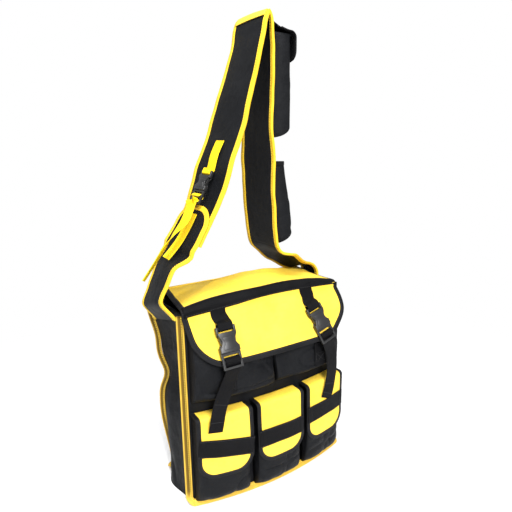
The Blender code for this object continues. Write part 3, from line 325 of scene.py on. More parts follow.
BACK_RUMPLE, BACK_CREASE = (0.0022, 0.07, 3), (0.0024, 0.11, 5)
GUSSET_RUMPLE, GUSSET_CREASE = (0.0045, 0.032), (0.0080, 0.058)
RIDGE_SHARPNESS, RIDGE_POWER = 3.2, 1.5
LATTICE_CELLS, LATTICE_START = 24, 7.3
LATTICE = np.random.default_rng(7).uniform(-1, 1, (LATTICE_CELLS,) * 3)


def eased(t):
    """0 to 1 with level ends."""
    t = np.clip(t, 0, 1)
    return t * t * (3 - 2 * t)


def noise(points, size, shift=0.0):
    """Smooth noise between -1 and 1: a fixed random lattice of that cell size, eased between its corners."""
    spot = np.asarray(points, float) / size + LATTICE_START + shift
    cell = np.floor(spot).astype(int)
    ease = eased(spot - cell)
    value = 0
    for corner in np.ndindex(2, 2, 2):
        index = (cell + corner) % LATTICE_CELLS
        weight = np.prod(np.where(np.array(corner) == 1, ease, 1 - ease), axis=-1)
        value = value + weight * LATTICE[index[..., 0], index[..., 1], index[..., 2]]
    return value


def rumple(points, depth, size, shift=0.0):
    """Soft unevenness of a depth, in swells of a size: the noise times the depth."""
    return depth * noise(points, size, shift)


def creases(points, depth, size, shift=0.0):
    """Sharp ridges of a depth along the lines where the noise passes zero."""
    return depth * np.clip(1 - RIDGE_SHARPNESS * np.abs(noise(points, size, shift)), 0, 1) ** RIDGE_POWER


def stack(x, y, z):
    """Points from their three coordinates."""
    return np.stack(np.broadcast_arrays(x, y, z), axis=-1).astype(float)


def mesh_piece(name, points, faces, uv, material):
    """A smooth-shaded piece from point, quad and UV arrays."""
    mesh = bpy.data.meshes.new(name)
    mesh.vertices.add(len(points))
    mesh.vertices.foreach_set("co", points.ravel())
    mesh.loops.add(faces.size)
    mesh.loops.foreach_set("vertex_index", faces.ravel().astype(np.int32))
    mesh.polygons.add(len(faces))
    mesh.polygons.foreach_set("loop_start", np.arange(0, faces.size, faces.shape[1], dtype=np.int32))
    mesh.update(calc_edges=True)
    layer = mesh.uv_layers.new(name="cloth")
    layer.data.foreach_set("uv", uv[faces.ravel()].astype(np.float32).ravel())
    mesh.polygons.foreach_set("use_smooth", np.ones(len(faces), bool))
    mesh.materials.append(material)
    mesh.validate()
    piece = bpy.data.objects.new(name, mesh)
    bpy.context.scene.collection.objects.link(piece)
    return piece


def grid_faces(rows, columns, wrap=False):
    """Quads of a grid of points, closed round its second way if wrap."""
    i, j = np.meshgrid(np.arange(rows - 1), np.arange(columns if wrap else columns - 1), indexing="ij")
    k = (j + 1) % columns
    low, high = i * columns, (i + 1) * columns
    return np.stack([low + j, high + j, high + k, low + k], -1).reshape(-1, 4)


def carry(piece, body):
    """Rides on one body; a piece given two, as (body, body, start, end), is left where it is made and rides
    on neither.
    """
    if isinstance(body, str):
        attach(piece, body)
    else:
        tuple(body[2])
        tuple(body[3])
        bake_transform(piece)


def cloth(name, grid, material, body, thick, side=-1.0):
    """A sheet of cloth through a grid of points, thickened behind its face, that rides on a body."""
    rows, columns = grid.shape[:2]
    steps = [np.linalg.norm(np.diff(grid, axis=way), axis=2).mean(1 - way) for way in (0, 1)]
    run = [np.r_[0, np.cumsum(step)] for step in steps]
    uv = np.stack(np.meshgrid(*run, indexing="ij"), -1).reshape(-1, 2)
    piece = mesh_piece(name, grid.reshape(-1, 3), grid_faces(rows, columns), uv, material)
    thicken = piece.modifiers.new("thickness", "SOLIDIFY")
    thicken.thickness = thick
    thicken.offset = side
    carry(piece, body)
    return piece


def front_y(x, z):
    """The front panel's place: bowed forward, most at its middle and its foot."""
    return -(HALF_DEPTH + FRONT_BOW * (1 - (x / HALF_WIDTH) ** 2) * (1 - (z / BAG_HEIGHT) ** 2))


def droop(x):
    """How far the bag's top edge hangs towards its left corner, and towards its right one."""
    left = np.clip((LEFT_DROOP_START - x) / (LEFT_DROOP_START + HALF_WIDTH), 0, 1)
    right = np.clip((x - RIGHT_DROOP_START) / (HALF_WIDTH - RIGHT_DROOP_START), 0, 1)
    return LEFT_DROOP * left**3 + RIGHT_DROOP * right**2


def rear_left(z, kink, foot, flare):
    """How far the rear left seam is pushed in at its kink and its foot, less how far it flares at its top."""
    pinched = kink * np.exp(-(((z - KINK_LEVEL) / KINK_REACH) ** 2))
    return pinched + foot * eased(1 - z / FOOT_REACH) - flare * eased((z - FLARE_LEVEL) / FLARE_REACH)


def rear_left_x(z):
    return rear_left(z, *KINK_SIDEWAYS)


def back_y(x, z):
    """The back panel's place: a slight bow, and the left corner pushed forward."""
    pushed = rear_left(z, *KINK_FORWARD) * np.clip(-x / HALF_WIDTH, 0, 1) ** CORNER_POWER
    return HALF_DEPTH + BACK_BOW * (1 - (x / HALF_WIDTH) ** 2) * np.sin(pi * z / BAG_HEIGHT) - pushed


def panel_grid(u, v, place):
    """Points of a surface that maps (u, v) to a place."""
    return place(*np.meshgrid(u, v, indexing="ij"))


def panel_height(b, x, top):
    """Height up a panel, from its foot to its drooping top edge."""
    return PANEL_FOOT + b * (top - PANEL_FOOT - droop(x))


def calm_edges(a, b):
    """1 over a panel's middle and 0 at its seams, where its creases end."""
    return (1 - np.abs(a) ** 6) * (1 - np.abs(2 * b - 1) ** 8)


def front_place(a, b):
    x, z = a * HALF_WIDTH, panel_height(b, a * HALF_WIDTH, BAG_HEIGHT)
    soft = rumple(stack(x, 0, z), *FRONT_RUMPLE) + creases(stack(x, 0.3, z * 0.8), *FRONT_CREASE)
    return stack(x, front_y(x, z) + calm_edges(a, b) * soft, z)


def back_place(a, b):
    x, z = a * HALF_WIDTH, panel_height(b, a * HALF_WIDTH, BACK_TOP)
    soft = rumple(stack(x, 0, z), *BACK_RUMPLE) - creases(stack(x * 0.7, 0.1, z), *BACK_CREASE)
    pushed = rear_left_x(z) * np.clip(-a, 0, 1) ** CORNER_POWER
    return stack(x + pushed, back_y(x, z) + calm_edges(a, b) * soft, z)


def side_belly(a, z):
    """How far the left side bellies out near its foot, most of it behind its middle."""
    return BELLY_OUT * np.sin(pi * ((1 + a) / 2) ** 2) ** 0.8 * np.exp(-((z / BELLY_RISE) ** 2))


def gusset_place(hand):
    """The left or right side: pinched inwards along its middle and creased inwards only."""
    def place(a, b):
        z = panel_height(b, hand * HALF_WIDTH, BAG_HEIGHT)
        rear = back_y(hand * HALF_WIDTH, z) - HALF_DEPTH
        y = a * (HALF_DEPTH - PANEL_FOOT - SEAM_GAP) + rear * (1 + a) / 2
        middle = np.cos(pi / 2 * a) ** 2
        folds = creases(stack(hand, y * 1.5, z * 0.42), *GUSSET_CREASE, 1 + hand)
        folds = folds + rumple(stack(hand, y, z * 0.6), *GUSSET_RUMPLE, 4 + hand)
        pinch = GUSSET_PINCH * middle * np.sin(pi * b)
        x = HALF_WIDTH - pinch - middle * np.sin(pi * b) ** 0.5 * np.abs(folds)
        if hand < 0:
            x = x - rear_left_x(z) * ((1 + a) / 2) ** 1.5 + side_belly(a, z)
        return stack(hand * x, y, z)

    return place


def base_grid():
    """The base: flat, and as wide at its left as the bellied side's foot."""
    x, share = np.meshgrid(np.linspace(-1, 1, 61) * HALF_WIDTH, np.linspace(0, 1, 25), indexing="ij")
    y = front_y(x, 0 * x) * (1 - share) + back_y(x, 0 * x) * share
    leftmost = np.clip(-x / HALF_WIDTH, 0, 1) ** BASE_CORNER_POWER
    x = x - (side_belly(2 * share - 1, 0.0) - rear_left_x(0.0) * share**1.5) * leftmost
    return stack(x, y, 0 * x)[:, ::-1]


def shell():
    u, v = np.linspace(-1, 1, 91), np.linspace(0, 1, 91)
    panels = [("bag_front", "front_panel", panel_grid(u, v, front_place)),
              ("bag_back", "back_panel", panel_grid(u[::-1], v, back_place))]
    for side, hand in (("left", -1), ("right", 1)):
        grid = panel_grid(np.linspace(-hand, hand, 61), v, gusset_place(hand))
        panels.append((f"bag_{side}_side", f"{side}_gusset", grid))
    panels.append(("bag_base", "bottom_panel", base_grid()))
    for name, node, grid in panels:
        panel = cloth(name, grid, BLACK, "bag", PANEL_THICK)
        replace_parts(panel, node)


shell()

# Binding tape: folded yellow tape sewn over the bag's long seams, with a row of thread down each face.
# Each one runs down a side, round the foot and up again, and stands 10 mm or more out of the seam.
BINDING_WIDTH, BINDING_THICK, BINDING_CORNER = 0.0100, 0.0036, 0.012
BINDING_FOOT, BINDING_WAVE, TOP_TRIM = 0.0060, (0.0012, 0.045), 0.001
FRONT_LEFT_WIDTH, BACK_LEFT_WIDTH, FRONT_TOP_GAP, BACK_TOP_GAP = 0.0135, 0.0110, 0.010, 0.014
FRONT_LEANS = ((0.93, -0.36), (0.45, -0.80))
BACK_LEANS = ((0.80, 0.60), (0.80, 0.60))
ROW_SHARE, FACE_SHARE = 0.22, 0.5
TAPE_ROUND, EDGE_POWER, RING_POINTS = 0.32, 0.7, 20
STITCH_LENGTH, STITCH_PITCH, STITCH_BULK = 0.0030, 0.0046, 0.00042
STITCH_RINGS = ((-1, 0.35), (-0.6, 1), (0.6, 1), (1, 0.35))


def unit(vectors):
    """Each row scaled to length 1."""
    return vectors / np.linalg.norm(vectors, axis=1, keepdims=True)


def run_along(line):
    """Distance along a line at each of its points."""
    return np.r_[0, np.cumsum(np.linalg.norm(np.diff(line, axis=0), axis=1))]


def directions(line, hint):
    """Run, across and outward unit vectors along a line; across is as near to the hint as it can be."""
    run = unit(np.gradient(line, axis=0))
    across = unit(hint - np.sum(hint * run, 1, keepdims=True) * run)
    return run, across, np.cross(run, across)


def tape(name, line, across, out, width, thick, material, body, square=TAPE_ROUND):
    """Tape or webbing: a flat section with rounded edges carried along a line, closed at both ends."""
    angle = np.linspace(0, 2 * pi, RING_POINTS, endpoint=False)
    u = width / 2 * np.sign(np.cos(angle)) * np.abs(np.cos(angle)) ** square
    v = thick / 2 * np.sign(np.sin(angle)) * np.abs(np.sin(angle)) ** EDGE_POWER
    ring = line[:, None] + across[:, None] * u[:, None] + out[:, None] * v[:, None]
    uv = np.stack(np.broadcast_arrays(u, run_along(line)[:, None]), -1).reshape(-1, 2)
    rows = len(line)
    k = np.arange(RING_POINTS // 2 - 1)
    cap = np.stack([k, k + 1, RING_POINTS - 2 - k, RING_POINTS - 1 - k], 1)
    far_cap = (cap + (rows - 1) * RING_POINTS)[:, ::-1]
    faces = np.vstack([grid_faces(rows, RING_POINTS, wrap=True)[:, ::-1], cap, far_cap])
    piece = mesh_piece(name, ring.reshape(-1, 3), faces, uv, material)
    carry(piece, body)
    return piece


def stitches(name, line, out, material, body, length=STITCH_LENGTH, pitch=STITCH_PITCH, bulk=STITCH_BULK):
    """A row of sewn stitches: small thread humps of 24 points, set along a line at an even pitch."""
    run = run_along(line)
    count = max(int(run[-1] / pitch), 1)
    at = (np.arange(count) + 0.5) * run[-1] / count
    spot, rise = (np.stack([np.interp(at, run, way[:, k]) for k in range(3)], -1) for way in (line, out))
    ahead = unit(np.stack([np.interp(at, run, np.gradient(line[:, k], run)) for k in range(3)], -1))
    rise = unit(rise)
    side = np.cross(ahead, rise)
    turns = np.linspace(0, 2 * pi, 6, endpoint=False)
    shape = [(x * length / 2, r * bulk * np.cos(turns), r * bulk * np.sin(turns))
             for x, r in STITCH_RINGS]
    hump = np.concatenate([stack(*ring) for ring in shape])
    along, beside, above = (hump[:, k:k + 1] for k in range(3))
    points = spot[:, None] + along * ahead[:, None] + beside * side[:, None] + above * rise[:, None]
    one = grid_faces(4, 6, wrap=True)[:, ::-1]
    ends = np.array([[0, 1, 2, 3], [0, 3, 4, 5], [21, 20, 19, 18], [23, 22, 21, 18]])
    faces = (np.vstack([one, ends])[None] + 24 * np.arange(count)[:, None, None]).reshape(-1, 4)
    piece = mesh_piece(name, points.reshape(-1, 3), faces, points.reshape(-1, 3)[:, :2], material)
    carry(piece, body)
    return piece


OUTER_INNER = (("outer", 1), ("inner", -1))


def seam_rows(name, line, across, out, inset, lift, material, body, faces=OUTER_INNER):
    """A row of stitches on each of a tape's two faces, at an inset from its middle."""
    for label, way in faces:
        seam = line - across * inset + out * way * lift
        stitches(f"{name}_{label}_stitches", seam, out * way, material, body)


def corner_path(half, low, high, radius, side_steps, turn_steps, foot_steps):
    """Down the left side, round both lower corners and up the right side, as points of a flat outline."""
    turn = np.linspace(0, pi / 2, turn_steps + 1)
    left = np.stack([-half + radius * (1 - np.cos(turn)), low + radius * (1 - np.sin(turn))], 1)
    right = left[::-1] * (-1, 1)
    side = np.linspace(high, low + radius, side_steps)[:-1]
    down, up = (np.stack([np.full(len(side), x), z], 1) for x, z in ((-half, side), (half, side[::-1])))
    foot = np.linspace(-half + radius, half - radius, foot_steps)[1:-1]
    return np.vstack([down, left, np.stack([foot, np.full(len(foot), low)], 1), right, up])


def outward(path):
    """Unit normals of such an outline, pointing away from its inside."""
    run = unit(np.gradient(path, axis=0))
    return np.stack([run[:, 1], -run[:, 0]], 1)


def seam_binding(name, node, surface_y, seam_x, forward, top, leans, left_width):
    """Tape round one face's seam; leans are both side flanges' shares outward and forward."""
    half, low = HALF_WIDTH + SEAM_GAP, PANEL_THICK + BINDING_THICK / 2
    path = corner_path(half + BINDING_WIDTH, low, top - TOP_TRIM, BINDING_CORNER, 90, 10, 80)
    inner = np.clip(path, [-half, low], [half, top])
    base = np.array([surface_y(x, z) for x, z in inner])
    foot = np.clip(1 - (path[:, 1] - low) / BINDING_CORNER, 0, 1)
    sides = np.clip((np.abs(path[:, 0]) - half) / BINDING_WIDTH, 0, 1)
    lean = np.where((path[:, 0] < 0)[:, None], leans[0], leans[1]) * (sides * (1 - foot))[:, None]
    near = stack(inner[:, 0], base + forward * 2 * SEAM_GAP * foot, inner[:, 1] + BINDING_FOOT * foot)
    far = stack(inner[:, 0] + np.sign(path[:, 0]) * BINDING_WIDTH * (lean[:, 0] + 0.5 * sides * foot),
                base + forward * BINDING_WIDTH * (foot + lean[:, 1]), path[:, 1])
    wave = rumple(near * (1, 1, 0.8), *BINDING_WAVE, forward)[:, None]
    away = unit(far - near)
    left = np.where(path[:, 0] < 0, sides * (1 - foot), 0)
    wide = BINDING_WIDTH + (left_width - BINDING_WIDTH) * np.maximum(left, foot)
    near = near + np.array([1, 0, 0]) * (seam_x(inner[:, 1]) * left)[:, None]
    line = near + away * wide[:, None] / 2
    _, across, out = directions(line, away)
    line = line + out * wave
    line[:, 2] = np.maximum(line[:, 2], low)
    widened = across * (wide / BINDING_WIDTH)[:, None]
    # The tape's finish carries painted shade: it is darker than the strap's yellow binding, and darker still
    # down its middle above the foot.
    piece = tape(name, line, widened, out, BINDING_WIDTH, BINDING_THICK, TAPE_YELLOW_PAINTED_SHADE, "bag")
    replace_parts(piece, node)
    seam_rows(name, line, across, out, BINDING_WIDTH * ROW_SHARE, BINDING_THICK * FACE_SHARE, THREAD_YELLOW,
              "bag")


def straight(z):
    return 0 * z


seam_binding("bag_front_binding", "front_binding", front_y, straight, -1, BAG_HEIGHT - FRONT_TOP_GAP,
             FRONT_LEANS, FRONT_LEFT_WIDTH)
seam_binding("bag_back_binding", "back_binding", back_y, rear_left_x, 1, BACK_TOP - BACK_TOP_GAP,
             BACK_LEANS, BACK_LEFT_WIDTH)

# Lower pockets: three bellows pockets in black cloth, open at the top under their flaps.
# Each rounds out of the foot seam, bellies a little and has a soft pleat down both side walls.
POCKET_WIDTH, POCKET_PITCH, POCKET_DEPTH = 0.106, 0.119, 0.0235
POCKET_FOOT, POCKET_MOUTH, POCKET_UNDERCUT, POCKET_THICK = 0.008, 0.184, 0.022, 0.0014
BELLY, BELLY_LEVEL, BELLY_SPAN = 0.0030, 0.045, 0.028
MOUTH_IN, MOUTH_IN_START, MOUTH_IN_SPAN = 0.0012, 0.12, 0.06
POCKET_SQUARENESS, LEAST_DEPTH, FULL_DEPTH = 0.19, 0.0016, 0.02
PLEAT, PLEAT_START, PLEAT_END, PLEAT_FOOT = 0.0032, 0.8, 0.95, 0.05
POCKET_RUMPLE, POCKET_CREASE, POCKET_FINE_CREASE = (0.0018, 0.030), (0.0032, 0.055), (0.0016, 0.034)


def undercut(rise, depth, height):
    """A quarter round: 0 at the foot, the full depth at that height and above."""
    t = np.clip(rise / height, 0, 1)
    return depth * np.sqrt(np.clip(1 - (1 - t) ** 2, 0, 1))


def bellows(name, node, centre, width, low, high, depth_at, shift):
    """A bellows pocket on the bag's front: a squared-off oval wall whose depth follows a function."""
    share = np.sin(np.linspace(-1, 1, 75) * pi / 2)
    lift = np.linspace(0, 1, 61) ** 1.5

    def place(a, b):
        z = low + b * (high - low)
        out = np.clip(1 - np.abs(a) ** (1 / POCKET_SQUARENESS), 0, 1) ** POCKET_SQUARENESS
        x = centre + a * width / 2
        depth = np.maximum(depth_at(x, z), LEAST_DEPTH)
        wall = np.clip((np.abs(a) - PLEAT_START) / (1 - PLEAT_START), 0, 1)
        pleat = PLEAT * wall * np.sin(pi * np.clip(out / PLEAT_END, 0, 1))
        x = x - np.sign(a) * pleat * np.clip((z - low) / PLEAT_FOOT, 0, 1)
        spot = stack(x, 0, z)
        soft = rumple(spot, *POCKET_RUMPLE, shift) - creases(spot * (1, 1, 1.5), *POCKET_CREASE, shift + 2)
        soft = soft - creases(spot * (1.3, 1, 0.7), *POCKET_FINE_CREASE, shift + 4)
        depth = depth + soft * np.clip(depth / FULL_DEPTH, 0, 1) * out
        seam = front_y(x - np.sign(x) * POCKET_THICK, z) - 2 * SEAM_GAP
        return stack(x, seam - depth * out, z)

    piece = cloth(name, panel_grid(share, lift, place), BLACK, "bag", POCKET_THICK)
    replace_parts(piece, node)


def lower_depth(centre):
    """A lower pocket's depth: an undercut foot, a belly over it and a mouth that is drawn in."""
    def depth(x, z):
        body = undercut(z - POCKET_FOOT, POCKET_DEPTH, POCKET_UNDERCUT)
        share = np.clip(1 - ((x - centre) / (POCKET_WIDTH / 2)) ** 2, 0, 1)
        belly = BELLY * np.exp(-(((z - BELLY_LEVEL) / BELLY_SPAN) ** 2)) * share
        return body + belly - MOUTH_IN * np.clip((z - MOUTH_IN_START) / MOUTH_IN_SPAN, 0, 1)

    return depth


SIDES = (("left", -1), ("middle", 0), ("right", 1))
for side, place in SIDES:
    bellows(f"{side}_pocket_body", f"{side}_pocket", place * POCKET_PITCH, POCKET_WIDTH, POCKET_FOOT,
            POCKET_MOUTH, lower_depth(place * POCKET_PITCH), 11 + 3 * place)

# Upper pockets: two wide pockets side by side between the lower ones and the flap, in the same black cloth.
# The left one is full but for its upper inner corner; the right one has sagged in beside the bag's middle.
UPPER_WIDTH, UPPER_PITCH, UPPER_DEPTH, UPPER_MOUTH_DEPTH = 0.168, 0.174, 0.0245, 0.0095
UPPER_SEAM, UPPER_FULL, UPPER_MOUTH, UPPER_UNDERCUT = 0.2135, 0.300, 0.346, 0.014
DENT_DEPTH, DENT_X, DENT_REACH, DENT_LEVEL, DENT_SPAN = 0.0235, 0.022, 0.044, 0.285, 0.052
CORNER_SINK, CORNER_X, CORNER_REACH, CORNER_LEVEL, CORNER_SPAN = 0.0200, -0.046, 0.036, 0.236, 0.045


def upper_depth(x, z):
    """An upper pocket's depth: an undercut foot, full to a level and closing towards its mouth."""
    full = undercut(z - UPPER_SEAM, UPPER_DEPTH, UPPER_UNDERCUT)
    close = np.clip((z - UPPER_FULL) / (UPPER_MOUTH - UPPER_FULL), 0, 1)
    return full - (UPPER_DEPTH - UPPER_MOUTH_DEPTH) * close


def left_depth(x, z):
    """The left pocket falls back at its upper inner corner."""
    sunk = eased((x - CORNER_X) / CORNER_REACH) * eased((z - CORNER_LEVEL) / CORNER_SPAN)
    return upper_depth(x, z) - CORNER_SINK * sunk


def dented_depth(x, z):
    """The right pocket has one round dent, nearest to the bag's middle."""
    near = np.exp(-(((x - DENT_X) / DENT_REACH) ** 2)) * np.exp(-(((z - DENT_LEVEL) / DENT_SPAN) ** 2))
    return upper_depth(x, z) - DENT_DEPTH * near


for side, place, depth_at, shift in (("left", -1, left_depth, 23), ("right", 1, dented_depth, 29)):
    bellows(f"upper_{side}_pocket_body", f"upper_{side}_pocket", place * UPPER_PITCH / 2, UPPER_WIDTH,
            UPPER_SEAM, UPPER_MOUTH, depth_at, shift)

# Pocket flaps: yellow cloth folded over from the seam above each pocket, bound in black tape.
# A black webbing band crosses each one; a hook patch behind it holds it shut. They turn on their seams.
# PROBE is a small step from a sheet's place that tells which way it faces there.
FLAP_SEAM, FLAP_TIP_Z, FLAP_REACH, FLAP_BEND = 0.190, 0.0705, 0.0279, 0.006
FLAP_CORNER, EDGING_WIDTH, EDGING_THICK, CLOTH_THICK = 0.030, 0.0085, 0.0032, 0.0018
FLAP_PUFF, TIP_IN, FLAP_RUMPLE, FLAP_CALM = 0.0016, 0.0012, (0.0009, 0.032), 0.01
INSET_SHARE, OVERHANG_SHARE, UNDER_EDGING, PROBE = 0.55, 0.78, 0.001, 0.001
EDGE_ROW_SHARE, EDGE_FACE_SHARE = 0.24, 0.48
BAND_WIDTH, WEB_THICK, BAND_ROW_INSET, BAND_ROUND = 0.036, 0.0014, 0.0022, 0.12
BAND_LEVELS = {"left": (0.1500, 0.1330), "middle": (0.1380, 0.1370), "right": (0.1460, 0.1500)}
BAND_CLIMB_START, BAND_CLIMB = 0.0075, 0.005


def pocket_flap_place(centre, shift):
    """Maps (across, run up from the tip, lift) to the flap: a hanging face, a bend, then back to the seam."""
    hanging = FLAP_SEAM - FLAP_BEND - FLAP_TIP_Z

    def place(x, run, lift=0.0):
        angle = np.clip((run - hanging) / FLAP_BEND, 0, pi / 2)
        back = np.maximum(run - hanging - FLAP_BEND * pi / 2, 0)
        radius = FLAP_BEND + lift
        z = FLAP_TIP_Z + np.minimum(run, hanging) + radius * np.sin(angle)
        share = np.clip(x / (POCKET_WIDTH / 2), -1, 1)
        low = np.clip(1 - run / hanging, 0, 1)
        soft = rumple(stack(centre + x, shift, z), *FLAP_RUMPLE, shift) * np.clip(1 - back / FLAP_CALM, 0, 1)
        puff = FLAP_PUFF * (1 - share**2) * np.sin(pi * low) - TIP_IN * low**2 + soft
        off = FLAP_REACH - FLAP_BEND + radius * np.cos(angle) - back + puff * np.cos(angle)
        return stack(centre + x, front_y(centre + x, np.minimum(z, FLAP_SEAM)) - off, z)

    return place, hanging + FLAP_BEND * (pi / 2 - 1) + FLAP_REACH - SEAM_GAP


def rounded_half(run, half, radius):
    """Half the width of a sheet with rounded corners, at a run up from its free edge."""
    drop = np.clip(1 - run / radius, 0, 1)
    return half - radius * (1 - np.sqrt(1 - drop**2))


def rounded_runs(radius, length, rows):
    """Runs up such a sheet: close together round its corners, then evenly spaced."""
    return np.r_[radius * (1 - np.cos(np.linspace(0, pi / 2, 16))), np.linspace(radius, length, rows)[1:]]


def edge_frames(place, path, reach):
    """A line just outside or inside an outline on a surface, with its across and outward directions."""
    away = outward(path)
    near, far = (place(*(path + away * (reach + step)).T) for step in (-PROBE, PROBE))
    line = (near + far) / 2
    _, across, out = directions(line, far - near)
    return line, across, out


def bound_flap(name, place, half, length, corner, body, rows, nodes, thick, wide):
    """A flap's yellow cloth, the black tape round its free edges and the rows of thread on the tape."""
    share, run = np.meshgrid(np.linspace(-1, 1, 61), rounded_runs(corner, length, rows), indexing="ij")
    grid = place(share * (rounded_half(run, half, corner) + UNDER_EDGING), run)
    sheet = cloth(name, grid, YELLOW, body, thick, 0.0)
    path = corner_path(half, 0.0, length, corner, 50, 14, 50)
    line, across, out = edge_frames(place, path, EDGING_WIDTH * OVERHANG_SHARE - wide / 2)
    edge = tape(f"{name}_edging", line, across, out, wide, EDGING_THICK, TAPE_BLACK, body)
    for piece, node, slot in ((sheet, nodes[0], "yellow_cloth"), (edge, nodes[1], "black_webbing")):
        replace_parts(piece, node)
    seam_rows(name, line, across, out, wide * EDGE_ROW_SHARE, EDGING_THICK * EDGE_FACE_SHARE, THREAD_BLACK,
              body, (("front", -1), ("back", 1)))
    return sheet


def pocket_flap_band(side, place, half, body):
    """The webbing across a pocket flap, lifted over the edging at both ends, with a row along each edge."""
    x = np.linspace(-POCKET_WIDTH / 2, POCKET_WIDTH / 2, 61)
    left, right = BAND_LEVELS[side]
    level = left + (right - left) * (x / half + 1) / 2 - BAND_WIDTH / 2 - FLAP_TIP_Z
    over = (EDGING_THICK - CLOTH_THICK) / 2 * eased((np.abs(x) - half + BAND_CLIMB_START) / BAND_CLIMB)
    lift = CLOTH_THICK / 2 + SEAM_GAP + WEB_THICK / 2 + over
    line = place(x, level, lift)
    _, across, out = directions(line, place(x, level + PROBE, lift) - line)
    band = tape(f"{side}_flap_webbing", line, across, out, BAND_WIDTH, WEB_THICK, WEB_BLACK, body, BAND_ROUND)
    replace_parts(band, f"{side}_pocket_flap_band")
    for label, way in (("upper", 1), ("lower", -1)):
        seam = line + across * way * (BAND_WIDTH / 2 - BAND_ROW_INSET) + out * WEB_THICK / 2
        stitches(f"{side}_band_{label}_stitches", seam, out, THREAD_BLACK, body)


def pocket_flap(side, centre, shift):
    body = f"{side}_pocket_flap_body"
    place, length = pocket_flap_place(centre, shift)
    half = POCKET_WIDTH / 2 - EDGING_WIDTH * INSET_SHARE
    nodes = (f"{side}_pocket_flap", f"{side}_pocket_flap_edging")
    bound_flap(f"{side}_flap_cloth", place, half, length, FLAP_CORNER, body, 46, nodes, CLOTH_THICK,
               EDGING_WIDTH)
    pocket_flap_band(side, place, half, body)
    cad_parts[f"{side}_pocket_hook_patch"].material_slots[0].material = HOOKS


for side, place in SIDES:
    pocket_flap(side, place * POCKET_PITCH, 31 + 5 * place)

# Main flap: yellow cloth from the bag's rear top edge, over the front edge and down the front, bound in black
# tape. A black webbing band wraps the fold, where it bends, and a yellow hem covers its rear seam. Its ends
# spread at the fold, whose middle arches up while its corners sag with the bag's.
MAIN_HALF, MAIN_THICK, FOLD_ROOM, FOLD_RADIUS, FOLD_DROP = 0.163, 0.0020, 0.0050, 0.012, 0.011
FRONT_RUN, FRONT_FALL, MAIN_CORNER, MAIN_TRIM, MAIN_EDGING_SHARE = 0.0905, 0.0835, 0.052, 0.0015, 1.25
FRONT_FLARE, FRONT_SPREAD, RIGHT_FLARE, FRONT_LEAN = 0.0300, 0.010, 0.006, 0.38
MAIN_CROWN, CROWN_RIDGE, RIDGE_SHARE, RIDGE_REACH_SHARE = 0.0135, 0.003, 0.30, 0.30
FOLD_ARCH, ARCH_SHARE, ARCH_REACH_SHARE, ARCH_RIGHT_SHARE = 0.0085, 0.10, 1.10, 0.6
ARCH_START, ARCH_SPAN, RIGHT_SAG = 0.040, 0.055, 0.004
LEFT_OUT, RIGHT_OUT, LOW_RIGHT_SHARE, LOW_LEFT_SHARE = 0.016, 0.019, 0.35, 0.2
MAIN_RUMPLE, TOP_CREASE, FINE_RUMPLE = (0.0016, 0.052, 2), (0.0024, 0.085, 8), (0.0012, 0.021, 9)
FRONT_RUMPLE_SHARE, REAR_CALM = 0.3, 0.02
FOLD_Y = -(HALF_DEPTH + FOLD_ROOM)
FLAP_LEVEL = BACK_TOP + SEAM_GAP + MAIN_THICK / 2
HINGE_Z = FLAP_LEVEL - FOLD_RADIUS - FOLD_DROP
TOP_RUN = HALF_DEPTH - FOLD_Y - FOLD_RADIUS
MAIN_RUN = FRONT_RUN + FOLD_DROP + FOLD_RADIUS * pi / 2 + TOP_RUN


